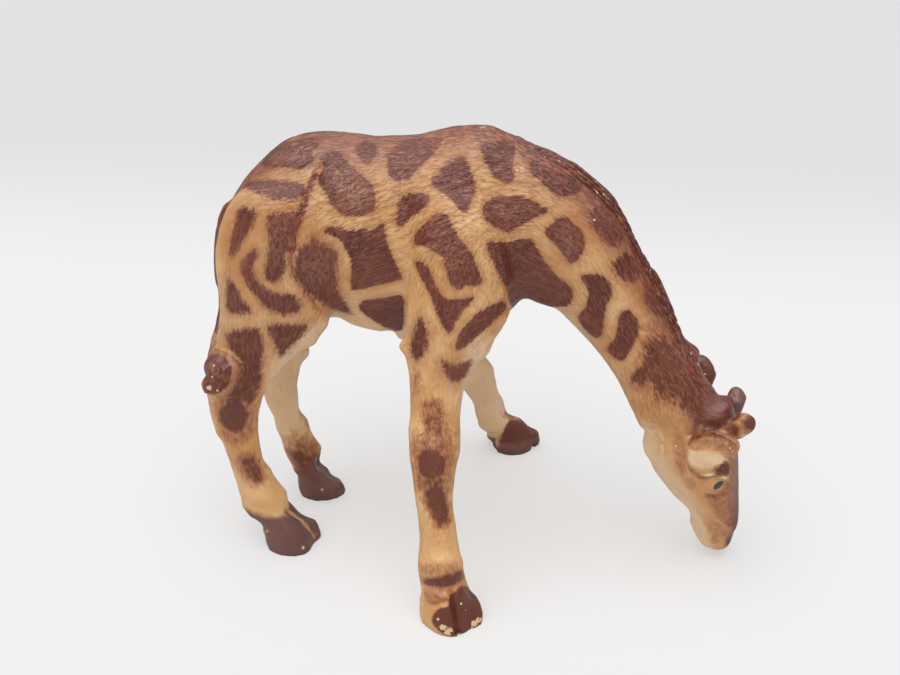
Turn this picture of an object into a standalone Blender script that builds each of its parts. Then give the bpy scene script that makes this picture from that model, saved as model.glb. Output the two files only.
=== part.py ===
"""Grazing giraffe calf: a painted soft-PVC toy figure, modelled as its bonded mouldings.

Metres, +Z up, the animal facing +X with its left side on +Y. It stands on its four hooves,
with the origin in the middle of its outline on the floor.
"""
from math import cos, radians, sin, tau

import bmesh
import bpy
from mathutils import Matrix, Vector

# Torso and neck
WITHERS_HEIGHT = 0.095
BODY_LENGTH = 0.070
BODY_DEPTH = 0.043
BODY_WIDTH = 0.0265
NECK_REACH = 0.044
NECK_DROP = 0.040
NECK_DEPTH = 0.032
NECK_WIDTH = 0.022
NECK_SWING = 0.008

# Head, ears and horns
HEAD_LENGTH = 0.042
HEAD_DEPTH = 0.018
HEAD_WIDTH = 0.0165
HEAD_ROLL = radians(11)
EAR_LENGTH = 0.0135
EAR_WIDTH = 0.0088
EAR_THICKNESS = 0.0030
HORN_LENGTH = 0.0082
HORN_WIDTH = 0.0034
HORN_SPACING = 0.0076

# Legs: size, and how each one stands
FORE_DEPTH = 0.0210
FORE_WIDTH = 0.0150
FORE_RIGHT_SPREAD = 0.0380
FORE_RIGHT_TURN = radians(36)
FORE_RIGHT_STRIDE = 0.0000
FORE_RIGHT_BOW = 0.0000
FORE_RIGHT_REACH = 0.0028
FORE_LEFT_SPREAD = 0.0378
FORE_LEFT_TURN = radians(38)
FORE_LEFT_STRIDE = 0.0060
FORE_LEFT_BOW = -0.0038
FORE_LEFT_REACH = 0.0058
HIND_DEPTH = 0.0270
HIND_WIDTH = 0.0150
HIND_RIGHT_SPREAD = 0.0145
HIND_RIGHT_TURN = radians(2)
HIND_RIGHT_STRIDE = 0.0000
HIND_RIGHT_BOW = 0.0000
HIND_RIGHT_REACH = 0.0064
HIND_LEFT_SPREAD = 0.0058
HIND_LEFT_TURN = radians(25)
HIND_LEFT_STRIDE = 0.0014
HIND_LEFT_BOW = 0.0032
HIND_LEFT_REACH = 0.0061
HOOF_LENGTH = 0.0135
HOOF_WIDTH = 0.0114
HOOF_HEIGHT = 0.0062
HOOF_CLEFT = 0.0030

# Tail
TAIL_LENGTH = 0.036
TAIL_WIDTH = 0.0038
TUFT_LENGTH = 0.0110
TUFT_WIDTH = 0.0090

# How the mouldings meet: a seat gap all round, and a locating peg in a socket
SEAT_GAP = 0.0003
LEG_PEG_WIDTH = 0.0060
LEG_PEG_LENGTH = 0.0095
NECK_PEG_WIDTH = 0.0080
NECK_PEG_LENGTH = 0.0120
HEAD_PEG_WIDTH = 0.0060
HEAD_PEG_LENGTH = 0.0110
TRIM_PEG_WIDTH = 0.0016
TRIM_PEG_LENGTH = 0.0045
PEG_SIDES = 12

# A subdivided cage lies inside its corners, so each section is drawn out by this share
BODY_LEVELS = 2
TRIM_LEVELS = 1
SIDES = 8
CAGE_SHARE = 3 / (2 + cos(tau / SIDES))

# Torso, rump to chest: place along, height of the middle, half width, rise, drop
REAR_SHARE = -0.743
TORSO_SHARES = (
    (0.045, 0.705, 0.36, 0.14, 0.18),
    (0.090, 0.730, 0.68, 0.25, 0.33),
    (0.180, 0.750, 0.90, 0.37, 0.44),
    (0.300, 0.755, 0.96, 0.495, 0.46),
    (0.460, 0.745, 1.00, 0.505, 0.48),
    (0.615, 0.735, 1.00, 0.490, 0.50),
    (0.760, 0.740, 0.96, 0.56, 0.52),
    (0.870, 0.755, 0.84, 0.57, 0.47),
    (0.960, 0.765, 0.56, 0.42, 0.31),
)

# Neck, withers to skull: reach, drop, swing, half width, half depth
NECK_ROOT_SHARES = (0.860, 0.760)
NECK_SHARES = (
    (-0.14, -0.02, 0.00, 0.90, 0.62),
    (0.06, -0.03, 0.00, 1.02, 0.65),
    (0.24, -0.035, 0.00, 0.96, 0.515),
    (0.435, 0.070, 0.09, 0.84, 0.425),
    (0.538, 0.214, 0.18, 0.76, 0.338),
    (0.680, 0.408, 0.36, 0.68, 0.278),
    (0.815, 0.630, 0.62, 0.66, 0.245),
    (0.915, 0.810, 0.86, 0.70, 0.270),
    (0.970, 0.930, 0.98, 0.60, 0.240),
)

# Head, poll to muzzle: place along, half width, towards the face, towards the jaw
POLL_SHARES = (1.085, 0.735, 1.00)
HEAD_AIM_SHARES = (0.15, 0.10, -0.98)
HEAD_SHARES = (
    (0.00, 0.46, 0.17, 0.22),
    (0.09, 0.80, 0.27, 0.58),
    (0.20, 0.96, 0.28, 0.72),
    (0.32, 1.00, 0.28, 0.78),
    (0.45, 0.98, 0.28, 0.74),
    (0.59, 0.82, 0.27, 0.58),
    (0.72, 0.66, 0.26, 0.37),
    (0.84, 0.64, 0.25, 0.27),
    (0.935, 0.56, 0.18, 0.20),
    (0.985, 0.34, 0.10, 0.12),
)

# Ears, root to tip: place along, half width, thickness, hollow of the inner side
EAR_SEAT_SHARES = (0.25, 0.36, -0.34)
EAR_RIGHT_AIM_SHARES = (0.75, -0.50, 0.40)
EAR_RIGHT_BREADTH_SHARES = (0.00, 0.00, 1.00)
EAR_LEFT_AIM_SHARES = (0.27, 0.54, 0.80)
EAR_LEFT_BREADTH_SHARES = (0.90, -0.10, -0.30)
EAR_SHARES = (
    (0.00, 0.34, 0.95, 0.00),
    (0.22, 0.62, 1.00, 0.10),
    (0.48, 1.00, 0.95, 0.55),
    (0.74, 0.90, 0.80, 0.55),
    (0.93, 0.46, 0.60, 0.20),
    (1.00, 0.16, 0.35, 0.00),
)

# Horns, root to tip: place along, half width
HORN_SEAT_SHARES = (0.235, 0.11)
HORN_SPLAY_SHARE = 0.33
HORN_SHARES = ((0.00, 1.25), (0.30, 1.10), (0.60, 0.84), (0.82, 1.00), (0.95, 0.86), (1.00, 0.44))

# Foreleg, shoulder to pastern: height, set forward, splay, half width, front, back
LEG_INSET_SHARE = 0.80
FORE_ROOT_SHARE = 0.750
FORE_SHARES = (
    (0.890, 0.06, 0.01, 0.30, 0.24, 0.24),
    (0.820, 0.10, 0.04, 0.60, 0.45, 0.44),
    (0.730, 0.14, 0.07, 0.78, 0.54, 0.50),
    (0.650, 0.12, 0.11, 0.84, 0.53, 0.50),
    (0.565, 0.02, 0.18, 0.76, 0.42, 0.39),
    (0.500, -0.05, 0.26, 0.60, 0.29, 0.25),
    (0.430, -0.04, 0.36, 0.54, 0.25, 0.235),
    (0.345, -0.02, 0.51, 0.54, 0.25, 0.25),
    (0.265, 0.02, 0.66, 0.44, 0.165, 0.18),
    (0.170, 0.10, 0.80, 0.42, 0.165, 0.19),
    (0.105, 0.12, 0.88, 0.56, 0.235, 0.25),
)

# Hind leg, croup to pastern: height, set forward, splay, half width, front, back
HIND_ROOT_SHARE = 0.245
HIND_SHARES = (
    (0.900, 0.02, 0.00, 0.34, 0.22, 0.22),
    (0.830, 0.02, 0.00, 0.66, 0.42, 0.42),
    (0.730, 0.00, 0.02, 0.82, 0.52, 0.50),
    (0.640, -0.02, 0.05, 0.88, 0.50, 0.47),
    (0.550, -0.16, 0.12, 0.80, 0.36, 0.36),
    (0.480, -0.27, 0.20, 0.66, 0.25, 0.28),
    (0.390, -0.40, 0.32, 0.56, 0.185, 0.25),
    (0.290, -0.385, 0.50, 0.46, 0.145, 0.165),
    (0.200, -0.345, 0.70, 0.42, 0.115, 0.135),
    (0.115, -0.235, 0.88, 0.54, 0.15, 0.185),
)

# Hoof, coronet to sole: height, half width, towards the toes, towards the heel, cleft
HOOF_SHARES = (
    (1.00, 0.88, 0.26, 0.42, 0.20),
    (0.50, 1.00, 0.45, 0.44, 0.90),
    (0.00, 0.96, 0.55, 0.42, 1.00),
)

# Tail, dock to tuft: set back, drop, swing, half width
DOCK_SHARES = (0.085, 0.815)
TAIL_SHARES = (
    (0.00, 0.00, 0.00, 0.90),
    (0.07, 0.12, 0.01, 1.10),
    (0.100, 0.31, 0.03, 1.00),
    (0.105, 0.55, 0.06, 0.95),
    (0.105, 0.77, 0.13, 0.95),
    (0.125, 0.915, 0.30, 1.10),
)
TUFT_AIM_SHARES = (0.62, -0.78, -0.12)
TUFT_SHARES = ((0.16, 0.70), (0.40, 0.98), (0.68, 1.02), (0.92, 0.90), (1.00, 0.66))

# Where the pegs sit: leg sections like those above, points on the neck, head and tail
FORE_PEG_SHARES = (0.650, 0.12, 0.11, 0.84)
HIND_PEG_SHARES = (0.730, 0.00, 0.02, 0.82)
NECK_PEG_START_SHARES = (0.34, 0.01, 0.04)
HEAD_PEG_START_SHARES = (0.50, 0.00, -0.20)
HEAD_PEG_END_SHARES = (0.00, 0.00, -0.14)
EAR_PEG_START_SHARE = 0.24
HORN_PEG_START_SHARE = 0.72
TAIL_PEG_SHARES = (0.100, 0.31, 0.03)


def paint(name, colour, roughness):
    """One painted PVC finish."""
    material = bpy.data.materials.new(name)
    material.use_nodes = True
    shader = material.node_tree.nodes["Principled BSDF"]
    shader.inputs["Base Color"].default_value = (*colour, 1)
    shader.inputs["Roughness"].default_value = roughness
    shader.inputs["Metallic"].default_value = 0
    return material


def section(centre, ahead, side, half_width, rise, drop, dent=0):
    """Cage corners of one oval section, from its top round by its left side."""
    side = (side - ahead * side.dot(ahead)).normalized()
    top = ahead.cross(side)
    corners = []
    for step in range(SIDES):
        angle = tau * step / SIDES
        height = cos(angle) * (rise if cos(angle) > 0 else drop)
        if step == 0:
            height -= dent
        corners.append(centre + (top * height + side * sin(angle) * half_width) * CAGE_SHARE)
    return corners


def ways_ahead(points):
    """The direction of a path at each of its points."""
    last = len(points) - 1
    return [(points[min(i + 1, last)] - points[max(i - 1, 0)]).normalized() for i in range(last + 1)]


def moulding(name, sections, material, levels, flat_end=False):
    """One closed piece: a cage lofted through unlike sections, subdivided."""
    mesh = bmesh.new()
    rings = [[mesh.verts.new(corner) for corner in corners] for corners in sections]
    for ring, following in zip(rings, rings[1:]):
        for i in range(SIDES):
            j = (i + 1) % SIDES
            mesh.faces.new((ring[i], ring[j], following[j], following[i]))
    mesh.faces.new(rings[0])
    end = mesh.faces.new(rings[-1])
    if flat_end:
        crease = mesh.edges.layers.float.new("crease_edge")
        for edge in end.edges:
            edge[crease] = 1
    bmesh.ops.recalc_face_normals(mesh, faces=mesh.faces)
    data = bpy.data.meshes.new(name)
    mesh.to_mesh(data)
    mesh.free()
    data.shade_smooth()
    data.materials.append(material)
    piece = bpy.data.objects.new(name, data)
    rounding = piece.modifiers.new("rounding", "SUBSURF")
    rounding.levels = levels
    rounding.render_levels = levels
    return piece


def middle_point(along, height):
    """A point of the animal's middle plane, as shares of the body's length and height."""
    return Vector(((REAR_SHARE + along) * BODY_LENGTH, 0, height * WITHERS_HEIGHT))


def torso_sections():
    rows = []
    for along, height, half_width, rise, drop in TORSO_SHARES:
        rows.append(section(middle_point(along, height), Vector((1, 0, 0)), Vector((0, 1, 0)),
                            half_width * BODY_WIDTH / 2, rise * BODY_DEPTH, drop * BODY_DEPTH))
    return rows


def neck_point(reach, drop, swing):
    offset = Vector((reach * NECK_REACH, -swing * NECK_SWING, -drop * NECK_DROP))
    return middle_point(*NECK_ROOT_SHARES) + offset


def neck_sections():
    centres = [neck_point(*row[:3]) for row in NECK_SHARES]
    rows = []
    for centre, ahead, row in zip(centres, ways_ahead(centres), NECK_SHARES):
        half_width, half_depth = row[3] * NECK_WIDTH / 2, row[4] * NECK_DEPTH
        rows.append(section(centre, ahead, Vector((0, 1, 0)), half_width, half_depth, half_depth))
    return rows


def head_axes():
    """Way to the muzzle, left side and face side of the head."""
    ahead = Vector(HEAD_AIM_SHARES).normalized()
    left = Vector((0, cos(HEAD_ROLL), sin(HEAD_ROLL)))
    left = (left - ahead * left.dot(ahead)).normalized()
    return ahead, left, ahead.cross(left)


def head_point(along, leftward, faceward):
    """A point of the head, in shares of its length, width and depth from the poll."""
    ahead, left, face = head_axes()
    return (neck_point(*POLL_SHARES) + ahead * along * HEAD_LENGTH + left * leftward * HEAD_WIDTH
            + face * faceward * HEAD_DEPTH)


def head_sections():
    ahead, left, _ = head_axes()
    rows = []
    for along, half_width, front, back in HEAD_SHARES:
        rows.append(section(head_point(along, 0, 0), ahead, left, half_width * HEAD_WIDTH / 2,
                            front * HEAD_DEPTH, back * HEAD_DEPTH))
    return rows


def ear_root(hand):
    along, outward, faceward = EAR_SEAT_SHARES
    return head_point(along, hand * outward, faceward)


def ear_sections(hand, aim, breadth):
    """A leaf-shaped ear, hollow on its inner side; hand is 1 on the left and -1 on the right."""
    rows = []
    for place, half_width, thickness, hollow in EAR_SHARES:
        half_thickness = thickness * EAR_THICKNESS / 2
        rows.append(section(ear_root(hand) + aim * place * EAR_LENGTH, aim, Vector(breadth),
                            half_width * EAR_WIDTH / 2, half_thickness, half_thickness,
                            hollow * EAR_THICKNESS))
    return rows


def horn_root(hand):
    along, faceward = HORN_SEAT_SHARES
    _, left, _ = head_axes()
    return head_point(along, 0, faceward) + left * hand * HORN_SPACING / 2


def horn_aim(hand):
    ahead, left, face = head_axes()
    return (face - ahead + left * hand * HORN_SPLAY_SHARE).normalized()


def horn_sections(hand):
    aim = horn_aim(hand)
    rows = []
    for place, share in HORN_SHARES:
        half = share * HORN_WIDTH / 2
        rows.append(section(horn_root(hand) + aim * place * HORN_LENGTH, aim, head_axes()[1], half, half, half))
    return rows


def leg_point(row, root_share, hand, spread, depth, stride, bow):
    """The middle of one section of a leg, from the root in the torso to the spread hoof."""
    height, forward, splay = row[:3]
    root = middle_point(root_share, height)
    root.x += forward * depth + stride * splay + bow * 4 * splay * (1 - splay)
    root.y = hand * (LEG_INSET_SHARE * BODY_WIDTH / 2 * (1 - splay) + spread * splay)
    return root


def leg_sections(rows, root_share, hand, spread, width, depth, stride, bow, turn, reach):
    """A leg down to its flat sole, with the toes turned out."""
    centres = [leg_point(row, root_share, hand, spread, depth, stride, bow) for row in rows]
    foot = centres[-1] + Vector((cos(turn), hand * sin(turn), 0)) * reach
    hoof = [Vector((foot.x, foot.y, row[0] * HOOF_HEIGHT)) for row in HOOF_SHARES]
    sections = []
    for centre, way, row in zip(centres, ways_ahead(centres + hoof), rows):
        yaw = turn * row[2] ** 2
        side = Vector((-hand * sin(yaw), cos(yaw), 0))
        sections.append(section(centre, way, side, row[3] * width / 2, row[4] * depth, row[5] * depth))
    side = Vector((-hand * sin(turn), cos(turn), 0))
    for centre, (_, half_width, front, back, cleft) in zip(hoof, HOOF_SHARES):
        sections.append(section(centre, Vector((0, 0, -1)), side, half_width * HOOF_WIDTH / 2,
                                front * HOOF_LENGTH, back * HOOF_LENGTH, cleft * HOOF_CLEFT))
    return sections


def tail_point(back, drop, swing):
    return middle_point(*DOCK_SHARES) + Vector((-back, -swing, -drop)) * TAIL_LENGTH


def tail_sections():
    centres = [tail_point(*row[:3]) for row in TAIL_SHARES]
    rows = []
    for centre, way, row in zip(centres, ways_ahead(centres), TAIL_SHARES):
        half = row[3] * TAIL_WIDTH / 2
        rows.append(section(centre, way, Vector((0, 1, 0)), half, half, half))
    aim = Vector(TUFT_AIM_SHARES).normalized()
    for place, share in TUFT_SHARES:
        half = share * TUFT_WIDTH / 2
        rows.append(section(centres[-1] + aim * place * TUFT_LENGTH, aim, Vector((1, 0, 0)), half, half, half))
    return rows


def use(piece, operation, tool):
    boolean = piece.modifiers.new(tool.name, "BOOLEAN")
    boolean.operation = operation
    boolean.object = tool


def as_cutter(item):
    item.hide_render = True
    item.display_type = "WIRE"
    return item


def seat_of(piece):
    """A cutter that stands one seat gap outside a piece's own skin."""
    cutter = as_cutter(piece.copy())
    cutter.name = piece.name + "_seat"
    swell = cutter.modifiers.new("seat gap", "DISPLACE")
    swell.strength = SEAT_GAP
    swell.mid_level = 0
    return cutter


def rod(name, start, aim, length, width):
    """A round rod from a point along a direction."""
    mesh = bmesh.new()
    aim = aim.normalized()
    place = Matrix.Translation(start + aim * length / 2) @ aim.to_track_quat("Z", "Y").to_matrix().to_4x4()
    bmesh.ops.create_cone(mesh, cap_ends=True, segments=PEG_SIDES, radius1=width / 2, radius2=width / 2,
                          depth=length, matrix=place)
    data = bpy.data.meshes.new(name)
    mesh.to_mesh(data)
    mesh.free()
    return as_cutter(bpy.data.objects.new(name, data))


def peg(piece, carrier, start, aim, length, width):
    """A locating peg on a piece, in a socket of its carrier that leaves the seat gap all round."""
    aim = aim.normalized()
    shaft = rod(piece.name + "_peg", start, aim, length, width)
    socket = rod(piece.name + "_socket", start, aim, length + SEAT_GAP, width + 2 * SEAT_GAP)
    use(piece, "UNION", shaft)
    use(carrier, "DIFFERENCE", socket)
    return shaft, socket


def lowest_and_highest(pieces):
    """Corners of the box round all pieces."""
    graph = bpy.context.evaluated_depsgraph_get()
    points = [vertex.co for piece in pieces for vertex in piece.evaluated_get(graph).data.vertices]
    low = Vector([min(point[axis] for point in points) for axis in range(3)])
    high = Vector([max(point[axis] for point in points) for axis in range(3)])
    return low, high


def leg_peg_line(row, root_share, hand, spread, width, depth, stride, bow):
    """Start and direction of a leg's peg: from inside its shoulder straight into the torso."""
    start = leg_point(row, root_share, hand, spread, depth, stride, bow)
    start.y += hand * row[3] * width / 4
    return start, Vector((0, -hand, 0))


def main():
    for item in list(bpy.data.objects):
        bpy.data.objects.remove(item, do_unlink=True)
    tan = paint("tan_painted_pvc", (0.56, 0.36, 0.17), 0.45)
    face = paint("face_painted_pvc", (0.60, 0.42, 0.23), 0.45)
    rust = paint("rust_painted_pvc", (0.36, 0.15, 0.07), 0.45)
    dark = paint("dark_painted_pvc", (0.10, 0.06, 0.05), 0.45)

    torso = moulding("torso", torso_sections(), tan, BODY_LEVELS)
    neck = moulding("neck", neck_sections(), tan, BODY_LEVELS)
    head = moulding("head", head_sections(), face, BODY_LEVELS)
    pieces = [torso, neck, head]
    seats = {item.name: seat_of(item) for item in pieces}
    cutters = list(seats.values())

    def seat(piece, carriers):
        for carrier in carriers:
            use(piece, "DIFFERENCE", seats[carrier])

    seat(neck, ["torso"])
    seat(head, ["neck"])
    start = neck_point(*NECK_PEG_START_SHARES)
    cutters += peg(neck, torso, start, neck_point(0, 0, 0) - start, NECK_PEG_LENGTH, NECK_PEG_WIDTH)
    start = head_point(*HEAD_PEG_START_SHARES)
    cutters += peg(head, neck, start, head_point(*HEAD_PEG_END_SHARES) - start, HEAD_PEG_LENGTH, HEAD_PEG_WIDTH)

    for name, hand, aim, breadth in (
        ("ear_right", -1, EAR_RIGHT_AIM_SHARES, EAR_RIGHT_BREADTH_SHARES),
        ("ear_left", 1, EAR_LEFT_AIM_SHARES, EAR_LEFT_BREADTH_SHARES),
    ):
        aim = Vector(aim).normalized()
        ear = moulding(name, ear_sections(hand, aim, breadth), rust, TRIM_LEVELS)
        seat(ear, ["head", "neck"])
        start = ear_root(hand) + aim * EAR_PEG_START_SHARE * EAR_LENGTH
        cutters += peg(ear, head, start, -aim, TRIM_PEG_LENGTH, TRIM_PEG_WIDTH)
        pieces.append(ear)
    for name, hand in (("horn_right", -1), ("horn_left", 1)):
        horn = moulding(name, horn_sections(hand), dark, TRIM_LEVELS)
        seat(horn, ["head", "neck"])
        start = horn_root(hand) + horn_aim(hand) * HORN_PEG_START_SHARE * HORN_LENGTH
        cutters += peg(horn, head, start, -horn_aim(hand), TRIM_PEG_LENGTH, TRIM_PEG_WIDTH)
        pieces.append(horn)

    for name, hand, spread, stride, bow, turn, reach in (
        ("foreleg_right", -1, FORE_RIGHT_SPREAD, FORE_RIGHT_STRIDE, FORE_RIGHT_BOW, FORE_RIGHT_TURN,
         FORE_RIGHT_REACH),
        ("foreleg_left", 1, FORE_LEFT_SPREAD, FORE_LEFT_STRIDE, FORE_LEFT_BOW, FORE_LEFT_TURN,
         FORE_LEFT_REACH),
    ):
        rows = leg_sections(FORE_SHARES, FORE_ROOT_SHARE, hand, spread, FORE_WIDTH, FORE_DEPTH, stride, bow,
                            turn, reach)
        leg = moulding(name, rows, tan, TRIM_LEVELS, flat_end=True)
        seat(leg, ["torso", "neck"])
        start, aim = leg_peg_line(FORE_PEG_SHARES, FORE_ROOT_SHARE, hand, spread, FORE_WIDTH,
                                  FORE_DEPTH, stride, bow)
        cutters += peg(leg, torso, start, aim, LEG_PEG_LENGTH, LEG_PEG_WIDTH)
        pieces.append(leg)
    for name, hand, spread, stride, bow, turn, reach in (
        ("hindleg_right", -1, HIND_RIGHT_SPREAD, HIND_RIGHT_STRIDE, HIND_RIGHT_BOW, HIND_RIGHT_TURN,
         HIND_RIGHT_REACH),
        ("hindleg_left", 1, HIND_LEFT_SPREAD, HIND_LEFT_STRIDE, HIND_LEFT_BOW, HIND_LEFT_TURN,
         HIND_LEFT_REACH),
    ):
        rows = leg_sections(HIND_SHARES, HIND_ROOT_SHARE, hand, spread, HIND_WIDTH, HIND_DEPTH, stride, bow,
                            turn, reach)
        leg = moulding(name, rows, tan, TRIM_LEVELS, flat_end=True)
        seats[name] = seat_of(leg)
        cutters.append(seats[name])
        seat(leg, ["torso"])
        start, aim = leg_peg_line(HIND_PEG_SHARES, HIND_ROOT_SHARE, hand, spread, HIND_WIDTH,
                                  HIND_DEPTH, stride, bow)
        cutters += peg(leg, torso, start, aim, LEG_PEG_LENGTH, LEG_PEG_WIDTH)
        pieces.append(leg)

    tail = moulding("tail", tail_sections(), dark, TRIM_LEVELS)
    seat(tail, ["torso", "hindleg_right", "hindleg_left"])
    start = tail_point(*TAIL_PEG_SHARES)
    cutters += peg(tail, torso, start, Vector((1, 0, 0)), TRIM_PEG_LENGTH, TRIM_PEG_WIDTH)
    pieces.append(tail)

    figure = bpy.data.collections.new("giraffe_calf")
    tools = bpy.data.collections.new("cutters")
    for collection, items in ((figure, pieces), (tools, cutters)):
        bpy.context.scene.collection.children.link(collection)
        for item in items:
            collection.objects.link(item)
    low, high = lowest_and_highest(pieces)
    middle = bpy.data.objects.new("figure_middle", None)
    figure.objects.link(middle)
    middle.location = (-(low.x + high.x) / 2, -(low.y + high.y) / 2, -low.z)
    for item in pieces + cutters:
        item.parent = middle


main()
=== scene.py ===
"""Sculpts and paints a toy figure of a grazing giraffe calf over its plain solids, and lights it on a pale floor."""

import itertools
import math

import bmesh
import bpy
import numpy as np
from bpy.props import FloatProperty, FloatVectorProperty, IntProperty, PointerProperty
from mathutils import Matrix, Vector
from mathutils.bvhtree import BVHTree


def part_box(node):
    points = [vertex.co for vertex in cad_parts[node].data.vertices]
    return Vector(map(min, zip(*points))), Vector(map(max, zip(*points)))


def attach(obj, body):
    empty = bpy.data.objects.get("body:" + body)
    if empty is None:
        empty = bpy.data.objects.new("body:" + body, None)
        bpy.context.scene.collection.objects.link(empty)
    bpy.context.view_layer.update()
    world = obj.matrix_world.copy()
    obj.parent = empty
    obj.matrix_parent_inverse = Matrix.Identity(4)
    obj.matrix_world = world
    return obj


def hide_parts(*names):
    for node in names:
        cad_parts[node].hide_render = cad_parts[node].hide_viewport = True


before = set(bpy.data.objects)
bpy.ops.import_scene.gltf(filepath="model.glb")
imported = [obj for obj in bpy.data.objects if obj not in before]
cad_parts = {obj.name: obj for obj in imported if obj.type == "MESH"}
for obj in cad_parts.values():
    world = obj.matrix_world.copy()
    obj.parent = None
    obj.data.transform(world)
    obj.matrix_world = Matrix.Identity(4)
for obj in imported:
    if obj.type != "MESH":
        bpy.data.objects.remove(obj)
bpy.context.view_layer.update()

bl_info = {
    "name": "Grazing giraffe calf",
    "version": (1, 0, 0),
    "blender": (4, 5, 0),
    "location": "View3D > Sidebar > Giraffe calf",
    "description": "Sculpts and paints a toy giraffe calf over its plain solids",
    "category": "Object",
}

MM = 0.001

# The camera, in millimetres, and the frame whose picture points the outlines below are given in
FRAME_WIDTH = 900
FRAME_HEIGHT = 675
LENS = 46.0
SENSOR = 36.0
CAMERA_PLACE = np.array([25.217, -228.052, 154.615])
CAMERA_AIM = np.array([-6.707, -0.899, 47.651])

MOULDINGS = {
    "torso": "torso_paint",
    "neck": "neck_paint",
    "head": "head_paint",
    "ear_right": "ear_paint",
    "ear_left": "ear_paint",
    "horn_right": "horn_paint",
    "horn_left": "horn_paint",
    "foreleg_right": "leg_paint",
    "foreleg_left": "leg_paint",
    "hindleg_right": "leg_paint",
    "hindleg_left": "leg_paint",
    "tail": "tail_paint",
}

# Centre lines of the body, as picture points and the depth y in millimetres at which they lie
TORSO_LINE = ((240, 235, -1), (300, 235, -1), (360, 225, -1), (420, 220, -1), (480, 215, -1), (520, 222, -1))
NECK_LINE = ((490, 195, -1), (545, 215, -2), (590, 255, -3), (625, 310, -4), (655, 370, -6), (680, 425, -8))
HEAD_LINE = ((682, 420, -8), (700, 460, -8), (712, 505, -8), (718, 545, -8))

# Dark patches on the side that faces the camera, as outlines in picture points
BODY_PATCHES = {
    "croup": ((263, 163), (275, 148), (291, 142), (304, 138), (318, 138), (318, 146), (310, 152), (314, 158),
              (308, 164), (297, 168), (280, 166), (268, 167)),
    "hip_upper": ((245, 185), (256, 180), (269, 181), (291, 182), (299, 184), (306, 189), (303, 195), (293, 199),
                  (280, 197), (264, 195), (254, 191)),
    "hip_long": ((268, 218), (274, 215), (286, 214), (298, 211), (306, 203), (303, 217), (298, 228), (292, 238),
                 (287, 249), (284, 262), (282, 275), (275, 283), (266, 278), (266, 264), (270, 249), (269, 232)),
    "rump_edge": ((238, 212), (244, 207), (254, 211), (255, 219), (249, 230), (241, 244), (233, 256), (230, 252),
                  (232, 238), (236, 222)),
    "haunch": ((254, 250), (257, 254), (252, 265), (254, 275), (261, 285), (270, 292), (280, 295), (291, 295),
               (298, 300), (299, 308), (291, 314), (280, 313), (269, 308), (258, 298), (249, 287), (243, 274),
               (242, 265), (247, 256)),
    "haunch_rear": ((229, 278), (234, 285), (240, 296), (249, 309), (248, 313), (238, 313), (228, 310), (227, 294)),
    "stifle": ((297, 254), (302, 247), (311, 244), (314, 237), (319, 245), (329, 247), (336, 254), (336, 271),
               (337, 288), (341, 298), (347, 305), (350, 313), (336, 310), (325, 304), (315, 298), (304, 288),
               (296, 276), (296, 263)),
    "loin": ((325, 154), (338, 152), (345, 159), (352, 167), (363, 176), (373, 189), (375, 201), (372, 212),
             (360, 215), (347, 215), (334, 207), (328, 195), (322, 186), (319, 177), (322, 171), (325, 164),
             (321, 159)),
    "loin_top": ((356, 144), (373, 143), (376, 151), (372, 160), (366, 164), (359, 156)),
    "back_top": ((388, 157), (392, 150), (403, 142), (421, 138), (438, 138), (441, 143), (436, 151), (426, 160),
                 (417, 168), (411, 177), (396, 180), (389, 174), (388, 165)),
    "rib_small": ((398, 202), (406, 196), (420, 193), (429, 199), (423, 208), (412, 216), (402, 226), (397, 222),
                  (398, 210)),
    "barrel": ((324, 231), (334, 227), (347, 231), (359, 230), (372, 230), (382, 224), (385, 235), (389, 249),
               (395, 262), (400, 273), (401, 279), (386, 283), (370, 287), (354, 290), (351, 285), (352, 271),
               (351, 259), (347, 250), (342, 241), (334, 236)),
    "belly": ((359, 306), (365, 300), (383, 298), (402, 296), (404, 312), (403, 326), (398, 331), (385, 327),
              (370, 318), (361, 311)),
    "withers": ((432, 182), (441, 171), (447, 164), (460, 157), (466, 161), (470, 171), (473, 180), (475, 190),
                (470, 202), (466, 212), (460, 209), (452, 200), (441, 190)),
    "shoulder": ((415, 236), (423, 226), (431, 219), (441, 213), (447, 216), (451, 225), (458, 236), (467, 248),
                 (472, 257), (477, 269), (482, 280), (478, 285), (466, 285), (460, 289), (451, 285), (447, 272),
                 (444, 260), (437, 252), (424, 246), (415, 243)),
    "shoulder_fork": ((415, 262), (424, 264), (431, 273), (437, 288), (445, 298), (458, 300), (473, 298), (463, 310),
                      (455, 322), (449, 333), (441, 322), (435, 306), (428, 290), (420, 274)),
    "brisket": ((456, 345), (462, 330), (480, 312), (500, 302), (506, 308), (493, 322), (479, 335), (466, 346),
                (458, 350)),
}
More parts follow.
